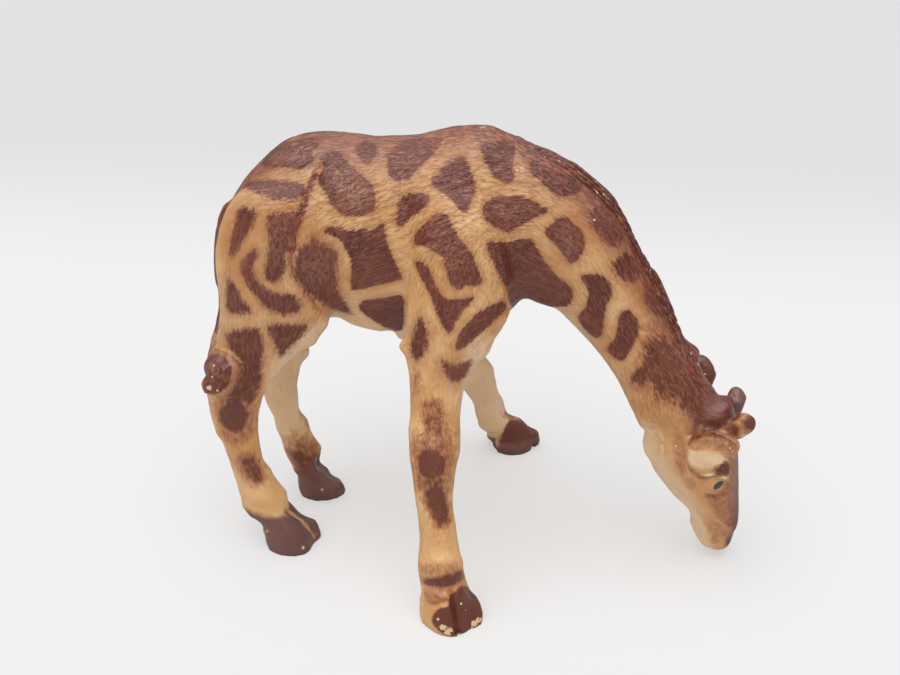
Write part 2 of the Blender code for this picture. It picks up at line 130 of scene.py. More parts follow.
NECK_PATCHES = {
    "base_top": ((481, 147), (493, 141), (511, 141), (515, 150), (513, 160), (512, 171), (514, 177), (508, 182),
                 (498, 179), (490, 170), (485, 159)),
    "base_crest": ((533, 160), (548, 168), (568, 174), (582, 183), (578, 192), (564, 196), (552, 191), (542, 181),
                   (531, 172)),
    "base": ((483, 214), (486, 202), (495, 198), (518, 197), (533, 202), (547, 210), (542, 214), (530, 219),
             (518, 226), (509, 232), (500, 228), (490, 223)),
    "chest": ((487, 244), (507, 243), (528, 238), (537, 249), (546, 263), (557, 276), (569, 286), (573, 294),
              (567, 306), (551, 304), (534, 299), (516, 290), (503, 281), (494, 263)),
    "small": ((545, 232), (553, 223), (564, 217), (574, 223), (583, 235), (584, 248), (579, 257), (571, 263),
              (564, 255), (556, 245)),
    "throat_a": ((582, 277), (596, 274), (608, 281), (612, 293), (605, 309), (603, 327), (601, 336), (594, 337),
                 (587, 331), (578, 318), (586, 307), (589, 291)),
    "throat_b": ((621, 313), (630, 311), (638, 323), (637, 335), (632, 347), (624, 359), (617, 359), (607, 350),
                 (614, 339), (618, 325)),
    "crest_a": ((590, 213), (603, 204), (615, 216), (622, 234), (616, 245), (608, 245), (598, 233), (591, 222)),
    "crest_b": ((614, 263), (626, 254), (638, 261), (639, 274), (632, 282), (623, 279), (616, 272)),
    "crest_c": ((644, 288), (653, 284), (663, 298), (665, 314), (657, 315), (647, 304)),
    "throat_c": ((632, 378), (645, 361), (650, 346), (659, 351), (656, 365), (646, 379), (640, 384)),
}
LEG_PATCHES = {
    "foreleg": {
        "arm": ((411, 345), (417, 325), (421, 318), (427, 335), (424, 352), (416, 360)),
        "arm_front": ((443, 362), (455, 366), (470, 361), (466, 375), (458, 381), (448, 377)),
    },
    "hindleg": {
        "thigh_rear": ((229, 334), (242, 330), (256, 329), (261, 336), (262, 351), (261, 367), (259, 380),
                       (251, 385), (244, 377), (243, 363), (232, 350), (228, 342)),
        "gaskin": ((268, 326), (287, 325), (307, 327), (297, 340), (286, 351), (281, 356), (276, 347), (271, 336)),
    },
}

# Sprayed and brushed brown: the outline, the width of its soft edge in millimetres and its strength. A group named
# only is painted where the photograph shows it, and the others are repeated on the animal's other side or other leg
BROWN_WASHES_AND_SHADE = {
    "tail": {
        "tail_strip": (((219, 215), (226, 204), (230, 206), (228, 230), (226, 260), (226, 300), (222, 330),
                        (215, 330), (213, 280), (213, 240)), 0.35, 0.95),
    },
    "ear_right": {
        "ear": (((688, 447), (694, 434), (710, 426), (728, 430), (739, 449), (731, 453), (720, 452), (706, 451),
                 (694, 451)), 0.35, 0.42),
        "ear_top": (((687, 447), (691, 432), (700, 424), (712, 420), (728, 424), (741, 436), (739, 448), (722, 440),
                     (706, 438), (695, 442)), 0.7, 0.75),
    },
    "only": {
        "far_ear": (((688, 347), (702, 347), (716, 360), (718, 376), (712, 386), (702, 374), (690, 358), (684, 346)),
                    0.5, 1.2),
        "crown": (((698, 392), (712, 384), (726, 394), (738, 404), (742, 416), (732, 422), (720, 430), (706, 432),
                   (694, 414)), 1.4, 1.1),
        "chest": (((508, 290), (520, 284), (545, 298), (562, 306), (540, 308), (514, 308)), 0.35, 1.0),
        # Painted shadow: the brown under the near ear stands for the shade that the ear throws on the cheek
        "under_ear": (((687, 462), (694, 470), (706, 476), (716, 474), (724, 464), (730, 466), (722, 476), (704, 480),
                       (690, 473)), 0.5, 0.6),
        "horn_tip": (((744, 409), (757, 413), (757, 425), (751, 432), (744, 426), (741, 415)), 1.4, 1.25),
        "horn_base": (((720, 430), (732, 422), (742, 428), (738, 442), (728, 440)), 1.0, 0.7),
        "tuft_end": (((205, 362), (211, 355), (222, 356), (230, 364), (231, 374), (229, 384), (222, 391), (212, 395),
                      (204, 391), (203, 377)), 0.35, 1.0),
        "far_toe": (((499, 442), (504, 430), (511, 420), (524, 421), (547, 432), (547, 448), (512, 458), (500, 452)),
                    0.8, 1.1),
        "far_hock": (((286, 450), (300, 448), (322, 450), (330, 470), (352, 486), (340, 500), (300, 500),
                      (296, 470)), 2.0, 0.85),
        "far_fetlock": (((286, 440), (318, 440), (330, 466), (296, 474)), 3.4, 0.62),
    },
    "body": {
        "hip_fold": (((312, 176), (320, 172), (312, 190), (306, 208), (300, 228), (296, 250), (290, 262), (288, 250),
                      (294, 228), (302, 204)), 0.7, 0.75),
        "flank_fold": (((288, 258), (294, 262), (302, 280), (316, 300), (322, 312), (312, 308), (298, 290),
                        (288, 272)), 0.9, 0.5),
    },
    "neck": {
        "withers_top": (((476, 129), (505, 131), (535, 146), (562, 163), (552, 171), (520, 157), (495, 146),
                         (476, 140)), 1.3, 0.6),
        "poll": (((640, 340), (644, 362), (638, 384), (650, 386), (658, 404), (668, 400), (680, 408), (687, 422),
                  (688, 434), (696, 440), (704, 434), (714, 430), (722, 420), (716, 392), (708, 378), (694, 362),
                  (684, 346), (664, 334)), 3.0, 0.85),
        "nape": (((640, 330), (655, 325), (672, 330), (690, 350), (700, 372), (690, 380), (670, 370), (650, 352)),
                 3.0, 0.6),
    },
    "head": {
        "face": (((722, 426), (736, 440), (741, 480), (742, 515), (741, 524), (733, 528), (724, 526), (713, 513),
                  (706, 499), (705, 493), (719, 490), (726, 480), (729, 468), (722, 452)), 0.9, 0.54),
        "cheek": (((675, 428), (682, 432), (690, 442), (688, 458), (684, 474), (677, 468), (672, 450)), 1.3, 0.45),
        "cheek_low": (((680, 470), (692, 474), (698, 486), (690, 490), (682, 482)), 1.0, 0.3),
        "mouth": (((712, 534), (719, 538), (717, 544), (711, 541)), 0.6, 0.4),
        "muzzle": (((712, 520), (722, 524), (733, 530), (729, 538), (716, 536), (707, 528)), 1.6, 0.45),
        "temple": (((714, 474), (718, 468), (726, 461), (730, 466), (728, 476), (720, 475)), 0.35, 0.9),
    },
    "foreleg": {
        "knee": (((418, 456), (425, 449), (436, 449), (444, 457), (446, 466), (443, 476), (434, 480), (423, 477),
                  (418, 468)), 1.0, 1.1),
        "round_knee": (((412, 438), (452, 434), (456, 470), (450, 494), (418, 494), (411, 470)), 2.4, 0.6),
        "shoulder_smudge": (((412, 372), (419, 370), (421, 392), (413, 394)), 1.2, 0.42),
        "above_knee": (((424, 402), (440, 400), (446, 425), (443, 446), (428, 448), (422, 425)), 1.4, 0.6),
        "below_knee": (((424, 488), (442, 484), (447, 498), (450, 510), (448, 523), (439, 527), (432, 518),
                        (426, 504)), 1.7, 1.05),
        "between_knees": (((422, 474), (444, 474), (446, 494), (424, 494)), 1.2, 0.7),
        "fetlock": (((424, 578), (442, 575), (462, 570), (463, 579), (450, 587), (432, 587), (424, 584)), 1.1, 0.95),
        "above_fetlock": (((418, 564), (462, 562), (464, 580), (420, 584)), 1.6, 0.4),
        "pastern": (((424, 586), (446, 586), (454, 596), (444, 604), (428, 604)), 0.9, 0.5),
        "toe": (((450, 596), (461, 586), (470, 588), (479, 598), (484, 611), (481, 624), (470, 634), (452, 637),
                 (440, 632), (433, 624), (432, 616), (439, 608), (447, 606)), 0.4, 1.0),
    },
    "hindleg": {
        "tarsus": (((242, 374), (262, 376), (258, 395), (250, 404), (226, 404), (232, 390)), 1.3, 0.85),
        "hock": (((221, 407), (233, 399), (246, 406), (249, 418), (243, 431), (233, 434), (224, 428), (218, 418)),
                 1.7, 1.05),
        "round_hock": (((216, 400), (252, 396), (258, 420), (246, 444), (226, 444), (216, 420)), 1.8, 0.5),
        "cannon": (((238, 455), (252, 454), (262, 466), (266, 480), (256, 486), (245, 478), (238, 468)), 2.0, 0.8),
    },
}

# Where the patches are lighter: partly worn thin, partly a painted sheen on patches that face the light. The outline,
# the width of its edge in millimetres and its strength
THIN_PAINT_AND_SHEEN = {
    "body": {
        "loin": (((330, 170), (344, 172), (360, 184), (370, 196), (362, 210), (346, 206), (334, 190)), 3.0, 0.85),
        "croup": (((272, 156), (290, 148), (306, 148), (300, 162), (276, 166)), 2.0, 0.35),
        "stifle": (((302, 252), (322, 250), (332, 262), (326, 284), (308, 280), (300, 266)), 3.0, 0.35),
        "hip": (((274, 222), (292, 220), (288, 240), (282, 262), (274, 262)), 2.0, 0.3),
        "shoulder": (((428, 224), (444, 220), (456, 240), (468, 262), (456, 268), (436, 240)), 2.0, 0.25),
    },
    "neck": {
        "small": (((552, 230), (564, 222), (576, 236), (578, 252), (566, 256), (556, 244)), 2.0, 0.35),
        "base": (((496, 206), (524, 202), (536, 208), (514, 220), (500, 218)), 2.0, 0.3),
    },
}

# Pale paint: the outline, the width of its edge in millimetres and its strength. On the far thigh and shin it is
# painted light, pale paint that lifts the shade the body throws on them
PALE_WASHES_AND_PAINTED_LIGHT = {
    "ear_right": {
        "inside": (((689, 450), (700, 452), (712, 453), (724, 453), (735, 451), (730, 460), (722, 467), (712, 475),
                    (702, 473), (693, 468), (688, 460)), 0.35, 0.6),
    },
    "only": {
        # Painted light: pale paint on the far thigh and shin, where the body shades them
        "far_thigh_painted_light": (((296, 335), (330, 318), (322, 340), (306, 360), (300, 380), (306, 420), (284, 430), (270, 400),
                       (266, 380)), 2.0, 0.6),
        "far_shin_painted_light": (((470, 345), (500, 340), (512, 380), (520, 405), (505, 428), (480, 428), (462, 395)),
                     2.0, 0.55),
    },
    "head": {
        "lid": (((700, 476), (712, 473), (724, 475), (732, 481), (724, 479), (712, 477)), 0.25, 0.8),
        "jaw": (((655, 452), (672, 470), (690, 492), (700, 510), (692, 506), (672, 484), (656, 466)), 2.0, 0.5),
    },
}

# Pressed folds and raised ridges: picture points along each, its half width and its height in millimetres
STROKES = {
    "only": {
        "jaw_root": (((640, 430), (642, 440), (646, 448)), 2.2, 0.9),
        "chest_front": (((538, 302), (546, 304)), 2.2, 0.6),
        "elbow_back": (((400, 340), (402, 346)), 1.6, 1.5),
        "elbow_hollow": (((391, 337), (396, 339)), 1.6, -0.9),
        "loin": (((398, 138), (425, 133), (452, 129)), 3.0, 0.6),
        "groin": (((326, 328), (316, 341), (306, 354)), 2.4, 1.7),
        "chin_notch": (((681, 503), (687, 508), (691, 512)), 1.5, -1.7),
        "chin": (((692, 522), (697, 532), (704, 541)), 1.6, 0.8),
        "upper_lip": (((729, 541), (735, 535)), 1.6, -0.7),
        "poll": (((721, 388), (726, 394)), 2.2, -1.4),
        "far_ear": (((696, 348), (703, 354), (711, 360), (717, 371)), 1.9, 1.1),
        "far_horn": (((725, 399), (729, 393), (733, 389)), 1.7, 0.9),
        "far_horn_shaft": (((728, 408), (733, 402)), 1.6, 0.6),
        "far_horn_front": (((742, 400), (739, 408), (736, 415)), 1.3, 0.9),
        "near_horn": (((727, 434), (735, 428), (742, 423)), 1.6, 0.8),
        "near_horn_low": (((735, 443), (742, 436), (749, 430)), 1.4, 0.5),
        "near_horn_tip": (((746, 419), (750, 421)), 1.6, 1.0),
        "tail_edge": (((217, 294), (217, 306), (216, 322), (212, 340)), 1.6, -1.1),
        "tuft_tip": (((202, 384), (204, 392)), 1.5, 1.1),
        "tuft_edge": (((201, 358), (200, 372)), 1.5, -0.8),
        "tuft_hollow": (((214, 366), (217, 377), (214, 386)), 1.9, -0.8),
        "tuft_rim": (((228, 356), (237, 366), (236, 380), (226, 392), (212, 396)), 0.9, 0.45),
        "tuft_crease": (((223, 359), (230, 371), (228, 384), (219, 392)), 0.5, -0.5),
        "hock_back": (((210, 404), (212, 416), (215, 432)), 2.0, 0.9),
        "cannon_back": (((232, 464), (238, 486)), 1.8, -0.7),
        "cannon_front": (((270, 470), (280, 484), (288, 494)), 1.8, 0.8),
        "fetlock_back": (((245, 506), (251, 514)), 1.5, 0.6),
        "hind_pastern": (((290, 499), (299, 508)), 1.7, -1.8),
        "hind_toe": (((316, 522), (320, 534)), 1.9, 1.2),
        "far_hock_front": (((301, 380), (300, 396), (303, 410)), 1.8, -0.7),
        "far_cannon": (((308, 420), (315, 434), (321, 446)), 2.0, 1.2),
        "far_hind_hoof": (((304, 489), (318, 492), (332, 490)), 2.0, 0.8),
        "far_forearm": (((491, 354), (496, 366), (497, 376)), 2.0, 0.6),
        "far_fore_fetlock": (((481, 428), (487, 436)), 1.7, 0.7),
        "fore_back": (((412, 430), (414, 460)), 1.8, 0.5),
        "knee_front": (((458, 434), (459, 452)), 1.8, 0.4),
        "fore_front": (((454, 480), (455, 508)), 1.6, -0.4),
        "toe_top": (((466, 582), (474, 594)), 1.8, -0.9),
        "crest_low": (((627, 215), (637, 235), (647, 258)), 2.6, -0.9),
        "crest_high": (((578, 164), (598, 180), (618, 202)), 2.2, 0.5),
        "crest_end": (((655, 272), (664, 290), (672, 308)), 2.2, 0.6),
        "croup": (((280, 144), (291, 138)), 2.2, 0.2),
        "far_toe": (((536, 434), (538, 441)), 1.9, 1.8),
        "far_fore_hoof": (((502, 447), (514, 450), (528, 447)), 1.8, 1.3),
        "near_toe": (((482, 596), (486, 612), (481, 626)), 1.8, 0.8),
        "near_heel": (((418, 600), (418, 617)), 1.8, 0.7),
    },
    "body": {
        "hip_fold": (((319, 168), (312, 190), (304, 208), (297, 230), (292, 250)), 1.1, -0.55),
        "flank_fold": (((286, 264), (292, 280), (302, 292), (318, 302)), 1.0, -0.5),
        "thigh_line": (((255, 246), (250, 266), (256, 284), (272, 298)), 1.3, -0.22),
        "behind_shoulder": (((404, 200), (410, 228), (411, 256), (404, 284), (401, 305)), 1.9, -0.6),
        "shoulder_ridge": (((417, 250), (433, 252), (444, 266), (448, 282), (460, 294)), 1.0, 0.45),
        "shoulder_front": (((487, 243), (495, 262), (506, 282), (517, 300)), 1.3, -0.4),
        "brisket_strand": (((512, 296), (504, 314), (490, 330), (474, 343)), 0.6, 0.4),
        "brisket_groove": (((507, 294), (499, 310), (486, 325), (470, 338)), 0.6, -0.35),
    },
    "neck": {
        "jaw_root": (((650, 415), (654, 432), (648, 446)), 1.2, -0.25),
    },
    "head": {
        "nostril": (((726, 531), (730, 534)), 0.6, -0.6),
        "lips": (((704, 527), (710, 533), (718, 538)), 0.45, -0.4),
        "chin_line": (((690, 508), (694, 506), (701, 500)), 0.8, -0.4),
        "mouth": (((718, 543), (711, 537), (705, 529), (701, 519)), 0.45, -0.35),
        "brow": (((702, 475), (712, 473), (723, 476), (732, 481)), 0.55, 0.75),
        "under_eye": (((703, 489), (712, 493), (722, 491)), 0.45, 0.3),
        "eye_bag": (((701, 492), (711, 497), (723, 495)), 0.5, -0.35),
        "nose_side": (((708, 500), (714, 512), (720, 526)), 0.9, -0.22),
        "cheek_bone": (((688, 476), (698, 488), (706, 500)), 1.1, 0.25),
        "nostril": (((726, 522), (727, 526)), 0.5, -0.5),
        "temple": (((717, 470), (723, 466)), 1.2, -0.5),
    },
    "ear": {
        "ear_cup": (((697, 464), (710, 462), (722, 456)), 1.2, -0.2),
        "ear_fold": (((700, 453), (716, 451), (733, 452)), 0.6, 0.4),
        "ear_low": (((694, 464), (704, 468), (714, 465)), 1.6, 0.9),
        "under_ear": (((689, 462), (695, 471), (705, 476), (715, 471), (724, 463)), 0.6, -0.6),
        "over_ear": (((690, 435), (700, 430), (712, 427), (724, 430)), 1.0, -0.9),
    },
    "foreleg": {
        "knee": (((430, 456), (432, 474)), 2.6, 0.35),
        "tendon": (((448, 484), (450, 520), (455, 548)), 0.9, -0.3),
        "shin": (((425, 486), (423, 520), (421, 550)), 0.9, -0.22),
        "fetlock": (((424, 566), (441, 566), (460, 562)), 1.8, 0.55),
        "pastern": (((426, 586), (443, 590), (460, 584)), 1.1, -0.75),
        "coronet": (((424, 603), (435, 605), (447, 602)), 0.6, -0.8),
        "cleft": (((453, 591), (454, 604), (457, 620), (459, 636)), 0.75, -1.3),
        "cleft_rim": (((450, 598), (451, 610), (453, 624)), 0.6, 0.3),
    },
    "hindleg": {
        "hock_point": (((217, 405), (220, 420)), 1.8, 0.3),
        "tendon": (((236, 436), (248, 464), (258, 488)), 0.9, -0.25),
        "fetlock": (((255, 496), (270, 499), (288, 498)), 1.8, 0.35),
        "pastern": (((254, 508), (274, 512), (292, 507)), 1.0, -0.4),
        "cleft": (((289, 511), (302, 520), (314, 533)), 0.75, -1.1),
        "cleft_rim": (((284, 514), (297, 525), (308, 538)), 0.6, 0.3),
        "dewclaw": (((264, 531), (268, 533)), 0.9, 0.35),
    },
}

# Places dragged across the picture: the picture point, how far it moves and the reach in millimetres
DRAGS = {
    "far_hock": ((272, 418), (4, 0), 2.5),
    "far_cannon": ((278, 440), (7, 0), 3.0),
    "far_cannon_low": ((286, 460), (8, 0), 2.8),
    "far_cannon_front": ((318, 440), (-1, 0), 2.0),
    "far_hind_pastern": ((330, 462), (-11, 2), 2.6),
    "far_hind_coronet": ((337, 472), (-5, 2.5), 2.0),
    "far_forearm": ((490, 366), (4, 0), 2.6),
    "far_fore_shin": ((511, 405), (-6, 5.5), 3.2),
    "far_fore_back": ((468, 405), (2.5, 0), 2.5),
    "far_fore_fetlock": ((487, 434), (-2, 2), 1.8),
    "far_fore_toe": ((538, 446), (-3, -4), 2.0),
    "far_fore_heel": ((490, 441), (3, -1), 1.8),
    "chest": ((526, 301), (-2, -5), 2.8),
    "neck_under": ((555, 309), (1, -2), 3.0),
    "brisket": ((503, 320), (3, 1.5), 3.0),
    "belly": ((338, 320), (0, -4.5), 2.6),
    "belly_rear": ((372, 330), (0, 1), 4.0),
    "elbow": ((397, 338), (0, -2.5), 2.0),
    "forearm_back": ((406, 358), (-2, 0), 3.0),
    "cannon_back": ((414, 500), (-1.2, 0), 6.0),
    "fetlock_back": ((418, 560), (-1.6, 0), 4.0),
    "gaskin": ((305, 358), (-1, 0), 2.4),
    "thigh_front": ((320, 337), (-3, -2), 2.6),
    "hock_front": ((258, 425), (-1.4, 0), 4.0),
    "hind_pastern": ((303, 511), (-1, 2), 2.4),
    "far_horn": ((744, 396), (-4, 3), 2.6),
    "poll": ((722, 395), (-1, 2), 1.6),
    "nape": ((698, 352), (3, 0), 2.0),
    "near_horn": ((754, 420), (-1, 0), 1.8),
    "jaw": ((664, 486), (1, -1), 3.2),
    "jaw_low": ((686, 510), (2.5, -1.2), 2.4),
    "throat": ((643, 438), (-1.5, 0), 2.0),
    "tail_strip": ((216, 310), (1.5, 0), 5.0),
    "tail_top": ((216, 255), (-1.2, 0), 5.0),
    "tuft_side": ((204, 377), (2.5, 0), 1.6),
    "tuft_tip": ((208, 393), (-3, 1), 1.6),
    "withers": ((512, 137), (0.8, -3), 4.0),
    "crest_top": ((560, 160), (0.8, -1.6), 5.0),
    "crest": ((650, 282), (0.8, -0.5), 4.0),
}

# Lay of the moulded hair: two picture points along it, and how strongly it stands out
HAIR = (
    ((440, 148), (396, 154), 1.0), ((432, 168), (400, 176), 1.0), ((474, 168), (440, 178), 1.0),
    ((470, 190), (446, 196), 1.0), ((512, 158), (485, 152), 0.9), ((566, 186), (540, 176), 0.9),
    ((535, 210), (495, 210), 0.9), ((425, 199), (403, 220), 0.9), ((452, 228), (422, 238), 0.9),
    ((462, 248), (448, 262), 0.8), ((468, 268), (465, 286), 0.7), ((432, 275), (441, 300), 0.6),
    ((462, 308), (451, 330), 0.6), ((442, 345), (438, 380), 0.45), ((560, 290), (512, 262), 0.45),
    ((576, 252), (556, 226), 0.6), ((604, 322), (590, 284), 0.6), ((634, 350), (616, 322), 0.55),
    ((650, 372), (626, 320), 0.5), ((655, 300), (622, 240), 0.6), ((690, 356), (660, 300), 0.6),
    ((696, 420), (680, 380), 0.75), ((656, 436), (648, 392), 0.7), ((614, 212), (584, 184), 0.7),
    ((312, 140), (276, 162), 1.0), ((300, 182), (256, 190), 0.8), ((346, 160), (322, 184), 1.0),
    ((372, 192), (336, 208), 0.9), ((400, 206), (368, 226), 0.9), ((385, 232), (352, 248), 0.8),
    ((392, 270), (362, 282), 0.4), ((396, 312), (364, 308), 0.4), ((318, 246), (318, 292), 0.55),
    ((306, 258), (316, 292), 0.5), ((284, 218), (276, 272), 0.6), ((252, 214), (234, 250), 0.4),
    ((252, 268), (260, 296), 0.5), ((244, 318), (246, 342), 0.5), ((290, 318), (282, 346), 0.6),
    ((250, 350), (246, 380), 0.5), ((380, 140), (350, 138), 0.8), ((340, 140), (310, 134), 0.8),
    ((730, 450), (732, 510), 0.7), ((662, 440), (684, 476), 0.6), ((700, 500), (716, 530), 0.5),
    ((432, 400), (432, 440), 0.55), ((436, 500), (437, 545), 0.45), ((250, 440), (262, 480), 0.45),
    ((300, 400), (310, 440), 0.4), ((716, 440), (704, 446), 0.7),
)

# Chipped spots: the picture point and the half width in millimetres
CHIPS = (
    (484, 127, 0.5), (480, 128, 0.4), (461, 130, 0.35), (546, 153, 0.4), (545, 156, 0.35), (559, 161, 0.4),
    (584, 172, 0.4), (590, 177, 0.35), (595, 181, 0.4), (601, 188, 0.35), (616, 203, 0.4), (627, 230, 0.3),
    (594, 220, 0.3), (691, 353, 0.5), (698, 364, 0.4), (705, 374, 0.35), (650, 352, 0.3), (623, 330, 0.25),
    (718, 521, 0.3), (443, 627, 0.9), (449, 632, 1.0), (456, 634, 0.7), (438, 620, 0.5), (474, 626, 1.0),
    (479, 620, 0.9), (461, 604, 0.3), (466, 610, 0.3), (303, 547, 0.6), (309, 542, 0.4), (522, 168, 0.3),
    (517, 170, 0.3), (214, 366, 0.4), (212, 377, 0.35), (209, 388, 0.6), (217, 391, 0.4), (206, 395, 0.6),
    (730, 448, 0.35), (704, 452, 0.25), (676, 446, 0.3), (670, 449, 0.3), (322, 490, 0.4), (333, 489, 0.3),
)

# Lines scraped bare in the dark hooves: picture points and the half width in millimetres
SCRAPES = (
    (((289, 512), (300, 519), (308, 528), (314, 537)), 0.4),
    (((255, 528), (262, 533), (268, 531)), 0.3),
    (((304, 494), (318, 497), (332, 495)), 0.3),
)

# How high the dark paint of each hoof reaches, in millimetres. The near fore hoof has outlines of its own above
HOOF_HEIGHTS = {"foreleg_left": 2.5, "hindleg_right": 9.5, "hindleg_left": 8.7}

# How far from the skin the solids are looked for, and how wide their joints are rounded, in millimetres. A joint is
# rounded fully up to the first share of its width and least past the second
REACH = 8.0
WIDE_JOINT = 6.0
SMALL_JOINTS = {"ear": 1.2, "horn": 1.0, "tail": 1.2}
JOINT_FADE = (0.15, 1.0)
LEAST_ROUNDING = 0.04

# Slices that show the middle of a leg, and how far a line of sight that misses looks for the skin, in millimetres
LEG_SLICES = 10
SLICE_HEIGHT = 7.0
SEARCH_DEPTH = 60.0
SEARCH_STEPS = 61

# Points of the skin below this height, in millimetres, lie on the floor, and rims are closed this far inside
SOLE_HEIGHT = 0.3
LID_DEPTH = 2.0

# How far round an outline its distance is kept, in millimetres, and the steps between two of its points. It marks
# the skin that faces its own way by more than the limit
SPILL = 4.0
OUTLINE_STEPS = 3
FACING_LIMIT = -0.05

# A stroke reaches this many of its half widths, and fades in between these two directions of the skin. A drag fades
# out between these two depths behind its point, in millimetres
PRESS_REACH = 2.5
PRESS_FACING = (-0.3, 0.4)
DRAG_DEPTHS = (9.0, 14.0)

# Hair of the coat: how widely its guides are mixed, in square millimetres, how high the shanks reach and the hooves
# calm it, in millimetres, and how strongly it stands out on shanks and tail
GUIDE_SPREAD = 6.0
SHANK_HEIGHT = 45.0
HOOF_CALM = (2.0, 14.0)
SHANK_HAIR = 0.3
TAIL_HAIR = 0.6

# Groups of washes that stay on one moulding, and the distances from it over which they fade
MASKED = {"tail": (1.0, 3.0), "ear_right": (0.3, 1.5)}

# Patches with a sprayed edge, and how much softer it is than a brushed one
SPRAYED = ("hip_long", "hip_upper", "rump_edge", "haunch", "haunch_rear", "stifle", "crest_a", "crest_b", "crest_c",
           "throat_c")
SOFT_EDGE = 0.45

# How much the patches differ on the other side: their stretch, and their shift in millimetres
FAR_STRETCH = (-0.1, 0.12)
FAR_SHIFT = 1.0

# Shades of the body: the angles from its top, in degrees, between which each fades out, and its strength
CREST_SHADES = ((22, 56, 0.55), (8, 26, 0.45))
SPINE_SHADE = (13, 40, 0.75)
FLANK_SHADE = (20, 75, 0.8)
NECK_WARMTH = 0.25
SHADE_PASSES = 12

# Cream below the body: the angles between which it fades in, and its strength on the belly and added on the jaw
BELLY_ANGLES = (115, 160)
BELLY_CREAM = 0.1
JAW_CREAM = 0.5
INNER_LEG_CREAM = 0.3
INNER_FACING = (0.0, 0.7)

# Where the neck begins along the body's line, and where trunk and head end beside it, in millimetres
NECK_FADE = (-12.0, 6.0)
TRUNK_FADE = (0.3, 3.0)
HEAD_FADE = (0.0, 14.0)

# Upper edge of the dark hooves, in millimetres, and the near fore hoof's inner toe by its direction, how far it lies
# ahead of the leg's middle and its height. A scraped line keeps a share of its paint
HOOF_FADE = (-1.2, 1.2)
UNEVEN_EDGE = 0.9
UNEVEN_PITCH = 2.0
TOE_FACING = (0.0, 0.5)
TOE_AHEAD = (-0.5, 2.5)
TOE_TOP = (7.5, 9.5)
SCRAPED = 0.25

# A chip fades out at this many of its half widths
CHIP_RIM = 1.6

# Paint of the small mouldings, and the directions between which the far ear's back turns brown
TAIL_RUST = 0.55
NEAR_HORN_CREAM = 0.25
FAR_EAR_CREAM = 0.6
EAR_FACING = (-0.35, 0.1)

# Picture points of the far ear, the near eye with its pupil, and the ends of the mane
FAR_EAR = (705, 365)
EYE_MIDDLE = (714, 483)
PUPIL_MIDDLE = (717.5, 484)
MANE_ENDS = ((488, 190), (668, 388))
ROW_POINTS = 60
END_SHARE = 0.25
# Left of the first and below the second coordinate, hair lies on the hind leg
HAUNCH_CORNER = (300, 330)

# Passes that smooth the edges between mouldings and join stray cells to them, and the weight of a cell's own vote
EDGE_PASSES = 12
STRAY_PASSES = 8
OWN_VOTE = 1.5

# Fine hair in the paint: the number of directions in which strands are drawn, how closely each follows the lay, and
# the two levels of noise between which a groove turns into a lock
LAY_TURNS = 6
LAY_FOCUS = 16.0
LOCK_LEVELS = (0.39, 0.59)

# Grain of the paint, by its size in millimetres and its detail: clouds of the airbrush, and flecks and specks of
# wear, which are drawn some times as coarse as the real ones so that they show
GRAINS = {"cloud": (11.76, 3.0), "fleck": (1.43, 4.0), "speck": (0.714, 3.0)}

# Wear and bare flecks of the mane's paint, by size in millimetres and detail, and the size of the eye's grime
MANE_WEAR = (1.25, 3.0)
MANE_FLECKS = (3.03, 4.0)
EYE_GRIME = 1.11

# Steps that work out how strongly each coat of paint shows: the result, the kind of step and what goes into it. A
# fade rises smoothly from its second value to its third one, up to 1 or its last one
PAINT_STEPS = (
    ("flecks", "SUBTRACT", "fleck", 0.5),
    ("specks", "SUBTRACT", "speck", 0.5),
    ("ridge", "MULTIPLY", "lock", "hair"),
    ("groove", "SUBTRACT", "hair", "ridge"),
    # Tops of the hair's locks, with specks: wear of the paint, and painted highlight where the locks catch the light
    ("worn", "MULTIPLY_ADD", "specks", 0.8, "ridge"),
    ("patch_edge", "MULTIPLY_ADD", "specks", 0.7, "patch"),
    ("patch_edge", "MULTIPLY_ADD", "groove", 0.3, "patch_edge"),
    ("spray_edge", "MULTIPLY_ADD", "flecks", 0.7, "brown"),
    ("spray_edge", "MULTIPLY_ADD", "groove", 0.4, "spray_edge"),
    ("rust_edge", "MULTIPLY_ADD", "flecks", 0.3, "rust"),
    ("chip_edge", "MULTIPLY_ADD", "flecks", 2.2, "chip"),
    ("golden", "FADE", "cloud", 0.36, 0.68),
    ("warmed", "MULTIPLY", "warm", 0.5),
    ("ringed", "FADE", "patch_edge", -1.5, 0.1, 0.5),
    # Halo colour in the grooves of the hair: a wash that sits there, and painted shade
    ("groove_wash_and_shade", "MULTIPLY", "groove", 0.16),
    ("sprayed", "FADE", "spray_edge", 0.1, 0.65, 0.9),
    ("soaked", "FADE", "spray_edge", 0.5, 0.95, 0.9),
    # Browns lighter on the locks: wear, and painted highlight
    ("rubbed_and_highlit", "MULTIPLY", "worn", 0.25),
    ("rusted", "FADE", "rust_edge", 0.0, 1.0, 0.95),
    ("covered", "FADE", "patch_edge", -0.32, 0.32),
    # Patches lighter in soft clouds of uneven paint and on the locks, where it is wear and painted highlight
    ("pale", "FADE", "cloud", 0.3, 0.7, 0.35),
    ("pale", "MULTIPLY_ADD", "worn", 0.65, "pale"),
    ("flecked", "FADE", "speck", 0.3, 0.6),
    # Patches worn thin, with painted sheen on them
    ("thinned_and_sheen", "MULTIPLY", "thin", "flecked"),
    ("scuffed", "FADE", "cloud", 0.4, 0.7, 0.2),
    ("chipped", "FADE", "chip_edge", 0.75, 0.9),
    ("relief", "MULTIPLY_ADD", "covered", 0.6, 0.4),
    ("relief", "MULTIPLY", "relief", "ridge"),
    ("relief", "MULTIPLY_ADD", "speck", 0.2, "relief"),
)

